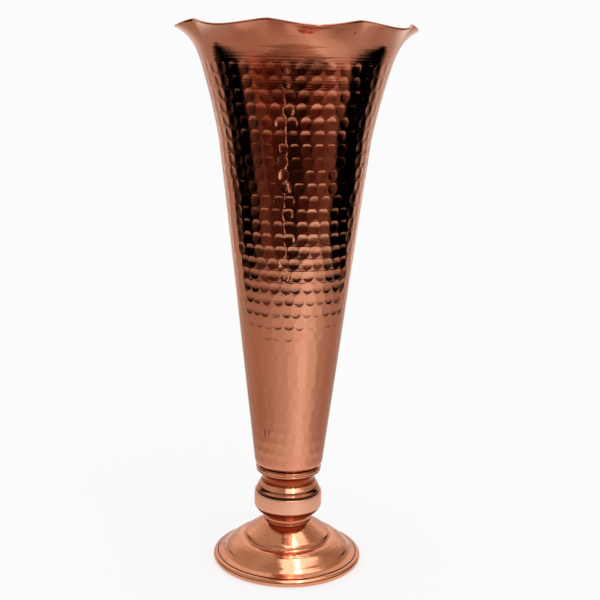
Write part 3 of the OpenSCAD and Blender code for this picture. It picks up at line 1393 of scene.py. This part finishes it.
@dataclass
class Stem:
    """The five turned pieces between the body and the foot."""

    spigot_r: float = 10.0
    collar_r: float = 18.5
    knop_r: float = 19.1
    shell: float = 1.0
    fit: float = 0.05

    def collar(self) -> list[Knot]:
        """Outlines the collar: two fine beads over a tapering skirt.

        Returns:
            The corners of its closed section.
        """
        low, high = levels("collar_ring")
        return [
            Knot(self.spigot_r, low, 0.1),
            Knot(16.5, low, 0.1),
            Knot(17.2, low + 0.7, 0.6),
            Knot(18.1, low + 1.25, 0.3),
            Knot(18.2, low + 2.0, 0.35),
            Knot(17.75, low + 2.35, 0.05),
            Knot(18.2, low + 2.55, 0.3),
            Knot(self.collar_r, low + 3.3, 0.55),
            Knot(18.2, low + 4.1, 0.5),
            Knot(17.2, high - 0.15, 0.4),
            Knot(16.0, high, 0.3),
            Knot(self.spigot_r, high, 0.1),
        ]

    def upper_neck(self) -> list[Knot]:
        """Outlines the upper neck: a concave spool with a spigot on top.

        Returns:
            The corners of its closed section.
        """
        low, high = levels("upper_neck")
        return [
            Knot(HOLE_R, low, 0.1),
            Knot(15.2, low, 0.1),
            Knot(15.55, low + 0.25, 0.2),
            Knot(15.4, low + 0.75, 0.2),
            Knot(15.0, low + 1.0, 0.3),
            Knot(14.95, low + 2.4, 2.0),
            Knot(15.4, low + 3.8, 3.0),
            Knot(16.2, low + 5.1, 1.0),
            Knot(16.4, low + 5.3, 0.05),
            Knot(self.spigot_r - self.fit, low + 5.3, 0.05),
            Knot(self.spigot_r - self.fit, high, 0.2),
            Knot(HOLE_R, high, 0.1),
        ]

    def shoulder(self) -> list[Knot]:
        """Outlines the knop's upper half: a dome with a skirt inside the band.

        Returns:
            The corners of its closed section.
        """
        low, high = levels("knop_shoulder")
        skirt = self.knop_r - self.shell - self.fit
        return [
            Knot(HOLE_R, high - self.shell, 0.1),
            Knot(14.6, high - self.shell, 0.3),
            Knot(15.7, high - 2.6, 1.0),
            Knot(skirt - self.shell, high - 5.5, 1.0),
            Knot(skirt - self.shell, low, 0.1),
            Knot(skirt, low, 0.1),
            Knot(skirt, high - 5.2, 0.2),
            Knot(17.95, high - 4.6, 0.35),
            Knot(17.35, high - 3.4, 1.6),
            Knot(16.95, high - 2.0, 1.8),
            Knot(16.0, high - 1.0, 2.0),
            Knot(15.2, high, 0.3),
            Knot(HOLE_R, high, 0.1),
        ]

    def band(self) -> list[Knot]:
        """Outlines the knop's lower half: an upright band over a rounded cup.

        Returns:
            The corners of its closed section.
        """
        low, high = levels("knop_band")
        inner = self.knop_r - self.shell
        return [
            Knot(HOLE_R, low, 0.1),
            Knot(14.8, low, 0.5),
            Knot(17.2, low + 1.5, 2.0),
            Knot(self.knop_r, low + 4.2, 3.0),
            Knot(self.knop_r, high, 0.45),
            Knot(inner, high, 0.15),
            Knot(inner, low + 4.8, 2.0),
            Knot(16.4, low + 2.5, 1.5),
            Knot(14.4, low + self.shell, 0.5),
            Knot(HOLE_R, low + self.shell, 0.1),
        ]

    def lower_neck(self) -> list[Knot]:
        """Outlines the lower neck: a waist over a fine bead.

        Returns:
            The corners of its closed section.
        """
        low, high = levels("lower_neck")
        return [
            Knot(HOLE_R, low, 0.1),
            Knot(13.4, low, 0.1),
            Knot(13.85, low + 0.35, 0.3),
            Knot(13.6, low + 0.9, 0.2),
            Knot(13.15, low + 1.15, 0.1),
            Knot(13.1, low + 2.2, 1.5),
            Knot(13.6, low + 3.5, 1.5),
            Knot(14.4, high, 0.1),
            Knot(HOLE_R, high, 0.1),
        ]

    def build(self, polished: bpy.types.Material, matt: bpy.types.Material) -> list[bpy.types.Object]:
        """Builds the five pieces.

        Args:
            polished: copper for the turned pieces.
            matt: brushed copper for the band.

        Returns:
            The pieces.
        """
        plan: dict[str, tuple[Callable[[], list[Knot]], bpy.types.Material, str]] = {
            "collar_ring": (self.collar, polished, "turned_copper"),
            "upper_neck": (self.upper_neck, polished, "turned_copper"),
            "knop_shoulder": (self.shoulder, polished, "turned_copper"),
            "knop_band": (self.band, matt, "matt_copper"),
            "lower_neck": (self.lower_neck, polished, "turned_copper"),
        }
        return [
            stand_in_for(
                turned_piece(node + "_copper", rounded(outline(), 0.8)), node, material
            )
            for node, (outline, material, slot) in plan.items()
        ]


# ---- Foot -------------------------------------------------------------------------------------


@dataclass
class Foot:
    """The spun bell foot, its folded rim and the wire inside the rim.

    The rim's middle is lower than its radius by rest_cut, which leaves it a flat to rest on.
    """

    top_r: float = 13.3
    wall: float = 1.0
    rim_path_r: float = 40.0
    rim_section_r: float = 2.2
    rest_cut: float = 0.1
    rim_bite: float = 0.04
    wire_r: float = 1.4
    wire_fit: float = 0.05
    groove_pitch: float = 1.15
    groove_depth: float = 0.045
    grooved_r: Zone = Zone(26.0, 27.5, 32.5, 34.0)

    @property
    def rim_z(self) -> float:
        """Returns the level of the middle of the rim's section."""
        return self.rim_section_r - self.rest_cut

    def shell_outline(self) -> np.ndarray:
        """Outlines the shell: a cone, a step, a convex roll and a hollow flange.

        The flange ends a hair inside the rim, so that no gap shows between them.

        Returns:
            The points of its closed section.
        """
        _, top = levels("foot_shell")
        outside = [
            Knot(HOLE_R, top, 0.1),
            Knot(self.top_r, top, 0.4),
            Knot(17.5, 20.8, 6.0),
            Knot(21.6, 17.9, 4.0),
            Knot(23.7, 16.4, 1.0),
            Knot(24.45, 15.2, 0.9),
            Knot(24.5, 14.0, 0.2),
            Knot(25.1, 13.6, 0.2),
            Knot(27.6, 13.5, 4.0),
            Knot(31.6, 11.1, 9.0),
            Knot(34.5, 8.2, 3.0),
            Knot(34.9, 7.5, 0.15),
            Knot(36.6, 5.8, 3.0),
            Knot(38.9, 4.8, 0.8),
            Knot(39.45, 4.5, 0.15),
        ]
        inside = [
            Knot(39.3, 4.2, 0.05),
            Knot(38.4, 3.75, 0.3),
            Knot(37.8, 3.6, 0.1),
            Knot(35.9, 4.9, 2.0),
            Knot(33.6, 7.5, 2.0),
            Knot(30.9, 10.2, 6.0),
            Knot(27.2, 12.4, 3.0),
            Knot(24.4, 12.7, 0.6),
            Knot(23.4, 13.8, 0.5),
            Knot(23.0, 15.6, 0.8),
            Knot(20.9, 17.3, 3.0),
            Knot(16.8, 20.1, 5.0),
            Knot(12.9, top - self.wall, 0.4),
            Knot(HOLE_R, top - self.wall, 0.1),
        ]
        outline = rounded(outside + inside, 0.4)
        reach = np.hypot(outline[:, 0] - self.rim_path_r, outline[:, 1] - self.rim_z)
        return self.grooved(outline[reach > self.rim_section_r - self.rim_bite])

    def grooved(self, outline: np.ndarray) -> np.ndarray:
        """Cuts fine turned grooves round the convex roll.

        Args:
            outline: the shell's closed section.

        Returns:
            The section with its roll grooved.
        """
        ahead = np.roll(outline, -1, axis=0) - np.roll(outline, 1, axis=0)
        length = np.maximum(np.hypot(*ahead.T), 1e-6)
        normal = np.stack((-ahead[:, 1], ahead[:, 0]), axis=1) / length[:, None]
        roll = np.interp(outline[:, 0], self.grooved_r, (0.0, 1.0, 1.0, 0.0)) * (normal[:, 1] > 0)
        walked = np.cumsum(np.hypot(*np.diff(outline, axis=0, prepend=outline[:1]).T))
        wave = np.abs(np.sin(np.pi * walked / self.groove_pitch)) - 1.0
        return outline + normal * (self.groove_depth * roll * wave)[:, None]

    def round_rim_middle(self, radius: float, angles: np.ndarray) -> np.ndarray:
        """Returns points round the middle of the rim's section, none of them below the table."""
        level = np.maximum(self.rim_z + radius * np.sin(angles), 0.0)
        return np.stack((self.rim_path_r + radius * np.cos(angles), level), axis=1)

    def rim_outline(self) -> np.ndarray:
        """Outlines the folded rim: a round tube that is split where the fold closes.

        Returns:
            The points of its closed section.
        """
        fold, gap = math.radians(150), math.radians(8)
        angles = fold + gap + np.linspace(0.0, math.tau - gap, 45)
        outer = self.round_rim_middle(self.rim_section_r, angles)
        inner = self.round_rim_middle(self.wire_r + self.wire_fit, angles[::-1])
        return np.vstack((outer, inner))

    def wire_outline(self) -> np.ndarray:
        """Returns the wire's round section."""
        return self.round_rim_middle(self.wire_r, np.arange(20) * math.tau / 20)

    def build(
        self, polished: bpy.types.Material, steel: bpy.types.Material
    ) -> list[bpy.types.Object]:
        """Builds the three pieces.

        Args:
            polished: copper for the shell and the folded rim.
            steel: for the wire.

        Returns:
            The pieces.
        """
        plan = (
            ("foot_shell", self.shell_outline(), polished, "turned_copper", 224),
            ("foot_rim", self.rim_outline(), polished, "turned_copper", 224),
            ("foot_wire", self.wire_outline(), steel, "steel", 160),
        )
        return [
            stand_in_for(turned_piece(node + "_made", outline, segments), node, material)
            for node, outline, material, slot, segments in plan
        ]


# ---- Rod and fasteners --------------------------------------------------------------------------


@dataclass
class Fasteners:
    """The threaded rod, its nuts, its washers and the rubber seal."""

    rod_r: float = 2.5
    rod_chamfer: float = 0.5
    pitch: float = 0.8
    thread_depth: float = 0.45
    nut_flats: float = 8.0
    nut_bevel_slope: float = 0.924
    nut_bevel_start: float = 0.12
    face_inset: float = 0.1
    countersink: tuple[float, float] = (0.35, 0.3)
    thread_fit: float = 0.05

    def rod(self) -> bpy.types.Object:
        """Builds the rod with a real helical thread.

        Returns:
            The rod.
        """
        base, top = levels("tie_rod")
        around, per_turn = 32, 8
        rows = round((top - base) / self.pitch * per_turn)
        angle = math.tau * np.arange(around) / around
        level = np.linspace(base, top, rows + 1)
        phase = (level[:, None] / self.pitch - angle[None] / math.tau) % 1.0
        cut = self.thread_depth * (1 - np.abs(2 * phase - 1))
        from_end = np.minimum(level - base, top - level)[:, None]
        radius = self.rod_r - np.maximum(cut, self.rod_chamfer - from_end)
        x, y = radius * np.cos(angle), radius * np.sin(angle)
        z = np.broadcast_to(level[:, None], x.shape)
        wall = np.stack((x, y, z), axis=-1).reshape(-1, 3)
        points = np.vstack((wall, [(0, 0, base)], [(0, 0, top)]))
        bottom_middle, top_middle = len(points) - 2, len(points) - 1
        faces: list[tuple[int, ...]] = []
        for j in range(around):
            k = (j + 1) % around
            for row in range(0, rows * around, around):
                faces.append((row + j, row + k, row + around + k, row + around + j))
            faces.append((bottom_middle, k, j))
            faces.append((top_middle, rows * around + j, rows * around + k))
        return new_piece("tie_rod_threaded", points, faces, crease=25.0)

    def nut(self, node: str) -> bpy.types.Object:
        """Builds a hexagon nut with bevelled corners and a countersunk hole.

        Args:
            node: the nut's CAD node, which gives its place.

        Returns:
            The nut.
        """
        base, top = levels(node)
        half = self.nut_flats / 2
        around = 96
        angle = math.tau * np.arange(around) / around
        to_flat = half / np.cos((angle + math.pi / 6) % (math.pi / 3) - math.pi / 6)
        bore = self.rod_r + self.thread_fit
        sink_wide, sink_deep = self.countersink
        sections = []
        for reach in to_flat:
            bevel = self.nut_bevel_slope * (reach - half + self.nut_bevel_start)
            sections.append(
                [
                    (bore, base + sink_deep),
                    (bore + sink_wide, base),
                    (half - self.face_inset, base),
                    (reach, base + bevel),
                    (reach, (base + top) / 2),
                    (reach, top - bevel),
                    (half - self.face_inset, top),
                    (bore + sink_wide, top),
                    (bore, top - sink_deep),
                ]
            )
        points, faces = round_grid(np.array(sections))
        return new_piece(node + "_steel", points, faces, crease=20.0)

    def washer(self, node: str) -> bpy.types.Object:
        """Builds a stamped washer, rounded on its upper edges.

        Args:
            node: the washer's CAD node, which gives its place and size.

        Returns:
            The washer.
        """
        base, top = levels(node)
        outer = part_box(node)[1][0] / MM
        outline = [
            Knot(HOLE_R, base, 0.1),
            Knot(outer, base, 0.1),
            Knot(outer, top, 0.35),
            Knot(HOLE_R, top, 0.25),
        ]
        return turned_piece(node + "_made", rounded(outline), 96)

    def build(self, steel: bpy.types.Material, rubber: bpy.types.Material) -> list[bpy.types.Object]:
        """Builds the six pieces.

        Args:
            steel: for the rod, the nuts and two washers.
            rubber: for the seal.

        Returns:
            The pieces.
        """
        pieces = [stand_in_for(self.rod(), "tie_rod", steel)]
        for node in ("top_nut", "foot_nut"):
            pieces.append(stand_in_for(self.nut(node), node, steel))
        for node in ("top_washer", "foot_washer"):
            pieces.append(stand_in_for(self.washer(node), node, steel))
        seal = self.washer("seal_washer")
        pieces.append(stand_in_for(seal, "seal_washer", rubber))
        return pieces


# ---- Studio -----------------------------------------------------------------------------------


@dataclass
class Studio:
    """Pale floor, soft light, the room that polished copper mirrors, and the camera.

    Lengths are metres. A bearing is in degrees to the right of the front, seen from the vase,
    and a height in the room is the sine of an elevation. The copper mirrors a lit table top that
    reaches a different distance at each bearing, the room beyond its edge, a thin hanging cord,
    and a window with a narrow lamp, whose places are given on a level ceiling 1 m up.
    """

    floor_tone: float = 0.97
    floor_glow: float = 0.7
    camera_distance: float = 0.600
    camera_height: float = 0.279
    pitch: float = 12.0
    yaw: float = 0.43
    roll: float = 1.25
    lens: float = 66.7
    lamp_size: tuple[float, float] = (1.2, 0.8)
    lamp_watts: float = 3.0
    lamp_tone: Colour = (1.0, 0.97, 0.93)
    lamp_place: Place = (0.5, -0.9, 1.5)
    lamp_aim: Place = (0.0, 0.0, 0.12)
    table_half: float = 2.2
    table_drop: float = 0.0001
    table_edge: float = 0.13
    near_tone: Colour = (0.92, 0.85, 0.80)
    near_share: float = 0.75
    near_reach: tuple[float, float] = (0.17, 0.07)
    behind_tone: Colour = (0.88, 0.82, 0.78)
    behind_bearing: tuple[float, float] = (126.0, 168.0)
    behind_reach: tuple[float, float] = (0.30, 0.80)
    splay_height: tuple[float, float] = (-0.1, -0.2)
    splay: float = 1.27
    splay_slope: float = 0.7
    dim_share: float = 0.7
    dim_height: tuple[float, float] = (-0.52, -0.44)
    dim_bearing: tuple[float, float] = (135.0, 115.0)
    cord_bearing: float = -15.0
    cord_width: tuple[float, float] = (0.6, 0.25)
    cord_height: Zone = Zone(-0.56, -0.51, -0.26, -0.22)
    cord_tone: Colour = (1.0, 0.85, 0.75)
    cord_gain: float = 2.0
    upper_height: tuple[float, float] = (0.12, 0.34)
    window_across: Zone = Zone(-0.20, -0.08, 0.5, 1.0)
    window_along: Zone = Zone(-2.0, -1.4, 0.05, 0.22)
    window_tone: Colour = (1.0, 0.98, 0.94)
    window_gain: float = 1.0
    strip_skew: float = 0.255
    strip_offset: float = 0.17
    strip_width: tuple[float, float] = (0.06, 0.02)
    strip_gain: float = 7.0
    table_tones: tuple[Stop, ...] = (
        Stop(-180, (0.50, 0.44, 0.40)),
        Stop(-120, (0.46, 0.37, 0.31)),
        Stop(-85, (0.43, 0.32, 0.27)),
        Stop(-60, (0.49, 0.38, 0.32)),
        Stop(-15, (0.64, 0.56, 0.51)),
        Stop(8, (0.84, 0.76, 0.71)),
        Stop(28, (1.0, 0.99, 0.98)),
        Stop(50, (0.80, 0.76, 0.72)),
        Stop(75, (0.51, 0.43, 0.38)),
        Stop(105, (0.44, 0.33, 0.29)),
        Stop(150, (0.46, 0.40, 0.36)),
        Stop(180, (0.50, 0.44, 0.40)),
    )
    table_reach: tuple[tuple[float, float], ...] = (
        (-180, 2.0),
        (-124, 1.8),
        (-110, 0.54),
        (-90, 0.53),
        (-45, 0.47),
        (-8, 0.45),
        (14, 0.48),
        (36, 0.52),
        (76, 0.53),
        (120, 0.56),
        (138, 1.8),
        (180, 2.0),
    )
    low_tones: tuple[Stop, ...] = (
        Stop(-180, (0.74, 0.68, 0.64)),
        Stop(-150, (0.64, 0.58, 0.53)),
        Stop(-133, (0.48, 0.40, 0.35)),
        Stop(-118, (0.18, 0.12, 0.10)),
        Stop(-104, BLACK),
        Stop(-80, BLACK),
        Stop(-66, (0.22, 0.13, 0.10)),
        Stop(-52, (0.48, 0.20, 0.13)),
        Stop(-36, (0.24, 0.08, 0.05)),
        Stop(-20, (0.20, 0.07, 0.045)),
        Stop(-5, (0.07, 0.03, 0.02)),
        Stop(6, (0.07, 0.03, 0.02)),
        Stop(18, (0.20, 0.07, 0.04)),
        Stop(36, (0.40, 0.15, 0.09)),
        Stop(60, (0.60, 0.30, 0.22)),
        Stop(68, (0.30, 0.17, 0.13)),
        Stop(77, BLACK),
        Stop(123, BLACK),
        Stop(133, (0.20, 0.16, 0.13)),
        Stop(148, (0.62, 0.56, 0.52)),
        Stop(180, (0.74, 0.68, 0.64)),
    )
    high_tones: tuple[Stop, ...] = (
        Stop(-180, (0.92, 0.86, 0.82)),
        Stop(-142, (0.85, 0.78, 0.72)),
        Stop(-128, (0.66, 0.58, 0.50)),
        Stop(-115, (0.52, 0.43, 0.36)),
        Stop(-75, (0.52, 0.46, 0.41)),
        Stop(-40, (0.42, 0.33, 0.27)),
        Stop(-15, (0.42, 0.32, 0.24)),
        Stop(30, (0.58, 0.46, 0.38)),
        Stop(75, (0.58, 0.51, 0.45)),
        Stop(98, (0.46, 0.37, 0.30)),
        Stop(118, (0.40, 0.31, 0.25)),
        Stop(130, (0.50, 0.40, 0.34)),
        Stop(143, (0.82, 0.74, 0.68)),
        Stop(180, (0.92, 0.86, 0.82)),
    )

    @staticmethod
    def bearing(sums: Sums, x: Socket, y: Socket) -> Socket:
        """Returns the bearing of a direction or a place, in degrees."""
        return sums("MULTIPLY", sums("ARCTAN2", x, sums("MULTIPLY", y, -1.0)), 180 / math.pi)

    @staticmethod
    def all_round(sums: Sums, bearing: Socket, stops: Sequence[Stop]) -> Socket:
        """Returns a colour that runs through stops placed at bearings."""
        return sums.bands(bearing, -180.0, 180.0, stops)

    @staticmethod
    def sheet(name: str, half: float, level: float) -> tuple[bpy.types.Object, Sums]:
        """Lays a square sheet with an empty material.

        Args:
            name: the sheet's name.
            half: half its side.
            level: its height.

        Returns:
            The object and the writer of its material's tree.
        """
        mesh = bpy.data.meshes.new(name)
        corners_xy = ((-half, -half), (half, -half), (half, half), (-half, half))
        mesh.from_pydata([(x, y, level) for x, y in corners_xy], [], [(0, 1, 2, 3)])
        sheet = bpy.data.objects.new(name, mesh)
        bpy.context.scene.collection.objects.link(sheet)
        material = bpy.data.materials.new(name)
        material.use_nodes = True
        mesh.materials.append(material)
        sheet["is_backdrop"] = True
        return sheet, Sums(material.node_tree)

    def floor(self) -> None:
        """Lays the pale floor, which glows a little so that its shadows stay soft."""
        floor, sums = self.sheet("floor", 6.0, 0.0)
        unlit = self.floor_tone * (1 - self.floor_glow)
        surface = {
            "Base Color": (unlit, unlit, unlit, 1.0),
            "Roughness": 1.0,
            "Specular IOR Level": 0.0,
            "Emission Color": (self.floor_tone, self.floor_tone, self.floor_tone, 1.0),
            "Emission Strength": self.floor_glow,
        }
        sums.fill(sums.tree.nodes["Principled BSDF"], surface)
        floor.visible_glossy = False

    def table_glow(self) -> None:
        """Lays the lit table top, which only the copper sees."""
        card, sums = self.sheet("table_glow", self.table_half, -self.table_drop)
        sums.tree.nodes.remove(sums.tree.nodes["Principled BSDF"])
        x, y, _ = sums.split(sums.put("ShaderNodeTexCoord").outputs["Object"])
        bearing, away = self.bearing(sums, x, y), sums.reach(x, y)
        tone = self.all_round(sums, bearing, self.table_tones)
        near = sums("MULTIPLY", sums.ramp(away, *self.near_reach), self.near_share)
        tone = sums.blend(near, tone, self.near_tone)
        behind = sums.ramp(sums("ABSOLUTE", bearing), *self.behind_bearing)
        behind = sums("MULTIPLY", behind, sums.ramp(away, *self.behind_reach))
        tone = sums.blend(behind, tone, self.behind_tone)
        longest = max(reach for _, reach in self.table_reach)
        stops = [Stop(place, (reach / longest,) * 3) for place, reach in self.table_reach]
        reach = sums("MULTIPLY", sums.split(self.all_round(sums, bearing, stops))[0], longest)
        glow = sums.put("ShaderNodeEmission")
        sums.feed(glow.inputs["Color"], tone)
        mix = sums.put("ShaderNodeMixShader")
        lit = sums.ramp(away, reach, sums("SUBTRACT", reach, self.table_edge))
        clear = sums.put("ShaderNodeBsdfTransparent").outputs[0]
        for socket, value in zip(mix.inputs, (lit, clear, glow.outputs[0])):
            sums.feed(socket, value)
        sums.feed(sums.tree.nodes["Material Output"].inputs["Surface"], mix.outputs[0])
        for sight in ("camera", "diffuse", "shadow", "transmission", "volume_scatter"):
            setattr(card, "visible_" + sight, False)

    def world(self) -> None:
        """Surrounds the vase: white to the eye, and a room with dark sides to the copper."""
        world = bpy.data.worlds.new("studio")
        bpy.context.scene.world = world
        world.use_nodes = True
        sums = Sums(world.node_tree)
        x, y, z = sums.split(sums.put("ShaderNodeTexCoord").outputs["Generated"])
        bearing = self.bearing(sums, x, y)
        cord = self.cord(sums, bearing, z)
        low = sums.blend(cord, self.lower_room(sums, bearing, z), self.cord_tone)
        high = self.all_round(sums, bearing, self.high_tones)
        around = sums.blend(sums.ramp(z, *self.upper_height), low, high)
        window, strip = self.window(sums, x, y, z)
        around = sums.blend(window, around, self.window_tone)
        gain = sums("MULTIPLY", window, self.window_gain)
        gain = sums("MULTIPLY_ADD", strip, self.strip_gain, gain)
        gain = sums("MULTIPLY_ADD", cord, self.cord_gain, gain)
        mirrored = sums.put("ShaderNodeLightPath").outputs["Is Glossy Ray"]
        plain = (self.floor_tone, self.floor_tone, self.floor_tone)
        sky = {
            "Color": sums.blend(mirrored, plain, around),
            "Strength": sums("MULTIPLY_ADD", gain, mirrored, 1.0),
        }
        sums.fill(sums.tree.nodes["Background"], sky)

    def lower_room(self, sums: Sums, bearing: Socket, z: Socket) -> Socket:
        """Draws the room below eye level, whose edges splay outwards upwards, dim at the floor.

        Args:
            sums: the writer of the world's tree.
            bearing: the direction's bearing.
            z: the direction's height.

        Returns:
            The room's colour.
        """
        splayed = sums("MULTIPLY", bearing, sums("MULTIPLY_ADD", z, self.splay_slope, self.splay))
        place = sums.blend_value(sums.ramp(z, *self.splay_height), bearing, splayed)
        front = sums.ramp(sums("ABSOLUTE", bearing), *self.dim_bearing)
        dim = sums.product(sums.ramp(z, *self.dim_height), front, self.dim_share)
        return sums.blend(dim, self.all_round(sums, place, self.low_tones), BLACK)

    def cord(self, sums: Sums, bearing: Socket, z: Socket) -> Socket:
        """Returns the share of the thin bright cord that hangs in the room."""
        aside = sums("ABSOLUTE", sums("SUBTRACT", bearing, self.cord_bearing))
        return sums("MULTIPLY", sums.ramp(aside, *self.cord_width), sums.zone(z, self.cord_height))

    def window(self, sums: Sums, x: Socket, y: Socket, z: Socket) -> tuple[Socket, Socket]:
        """Draws a bright window overhead, in front to the right, and the narrow lamp across it.

        Args:
            sums: the writer of the world's tree.
            x: direction to the right.
            y: direction away from the camera.
            z: direction upwards.

        Returns:
            The window's and the lamp's share of a direction.
        """
        rise = sums("MAXIMUM", z, 0.02)
        across, along = sums("DIVIDE", x, rise), sums("DIVIDE", y, rise)
        pane = sums.zone(across, self.window_across)
        window = sums("MULTIPLY", pane, sums.zone(along, self.window_along))
        skewed = sums("MULTIPLY_ADD", along, self.strip_skew, -self.strip_offset)
        line = sums("ABSOLUTE", sums("ADD", across, skewed))
        return window, sums("MULTIPLY", sums.ramp(line, *self.strip_width), window)

    def lamp(self) -> None:
        """Hangs one broad soft lamp for the floor and the matt pieces."""
        data = bpy.data.lights.new("soft_box", "AREA")
        data.shape = "RECTANGLE"
        data.size, data.size_y = self.lamp_size
        data.energy = self.lamp_watts
        data.color = self.lamp_tone
        lamp = bpy.data.objects.new("soft_box", data)
        bpy.context.scene.collection.objects.link(lamp)
        lamp.location = self.lamp_place
        aim = Vector(self.lamp_aim) - lamp.location
        lamp.rotation_euler = aim.to_track_quat("-Z", "Y").to_euler()
        lamp.visible_glossy = False

    def camera(self) -> None:
        """Stands the camera a little below the lip, tipped down and slightly rolled."""
        data = bpy.data.cameras.new("camera")
        data.lens = self.lens
        data.sensor_width = 36.0
        data.clip_start = 0.01
        camera = bpy.data.objects.new("camera", data)
        bpy.context.scene.collection.objects.link(camera)
        turn = Matrix.Rotation(math.radians(-self.yaw), 4, "Z")
        tip = Matrix.Rotation(math.radians(90 - self.pitch), 4, "X")
        lean = Matrix.Rotation(math.radians(self.roll), 4, "Z")
        place = Matrix.Translation((0.0, -self.camera_distance, self.camera_height))
        camera.matrix_world = place @ turn @ tip @ lean
        bpy.context.scene.camera = camera

    def build(self) -> None:
        """Sets the whole studio up."""
        self.floor()
        self.table_glow()
        self.world()
        self.lamp()
        self.camera()
        bpy.context.scene.view_settings.view_transform = "Standard"


# ---- Vase -------------------------------------------------------------------------------------

HAMMERED = HammeredFinish(
    name="hammered_copper",
    bright=(0.82, 0.36, 0.225),
    browned=(0.70, 0.28, 0.155),
    roughness=0.07,
    dull_roughness=0.16,
    line_axis=Axis.FLARING,
    lines=1500.0,
    line_depth=0.014,
    patch_scale=22.0,
    browning=0.5,
    flecks=0.15,
)
TURNED = TurnedFinish(
    name="turned_copper",
    bright=(0.84, 0.37, 0.22),
    browned=(0.64, 0.24, 0.125),
    roughness=0.09,
    dull_roughness=0.20,
    line_axis=Axis.OUTWARD,
    lines=1800.0,
    line_depth=0.018,
    patch_scale=60.0,
    browning=0.5,
    flecks=0.3,
)
MATT = TurnedFinish(
    name="matt_copper",
    bright=(0.99, 0.53, 0.37),
    browned=(0.90, 0.43, 0.28),
    roughness=0.34,
    dull_roughness=0.42,
    line_axis=Axis.UPRIGHT,
    lines=4000.0,
    line_depth=0.004,
    patch_scale=80.0,
    browning=0.4,
    flecks=0.1,
    ding_depth=0.0,
    # Painted shade under the knop's band, dark red where the copper mirrors copper.
    shade_rings=(PaintedShadeRing(20.0, 32.2, 0.0, 19.5, 0.9, 0.95),),
)
STEEL = CloudyFinish(
    name="plated_steel",
    colour=(0.58, 0.57, 0.55),
    cloudy=(0.33, 0.30, 0.27),
    metallic=1.0,
    roughness=0.16,
    cloud_roughness=0.25,
    clouds_per_metre=350.0,
    cloud_detail=4.0,
    cloud_noise=(0.4, 0.75),
)
RUBBER = CloudyFinish(
    name="seal_rubber",
    colour=(0.012, 0.012, 0.012),
    cloudy=(0.045, 0.042, 0.04),
    metallic=0.0,
    roughness=0.55,
    cloud_roughness=0.3,
    clouds_per_metre=900.0,
    cloud_detail=5.0,
    cloud_noise=(0.45, 0.7),
)


def corners() -> list[list[float]]:
    """Returns the shown object's lowest and highest corner as plain lists."""
    return [[float(value) for value in corner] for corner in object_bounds()]


def main() -> None:
    """Builds the vase and its studio."""
    logging.basicConfig(level=logging.INFO, format="%(name)s: %(message)s")
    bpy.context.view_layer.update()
    effects = Effects()
    turned = TURNED.material(effects)
    steel = STEEL.material()
    TrumpetBody().build(HAMMERED.marks, HAMMERED.material(effects))
    Stem().build(turned, MATT.material(effects))
    Foot().build(turned, steel)
    Fasteners().build(steel, RUBBER.material())
    Studio().build()


if __name__ == "__main__":
    main()
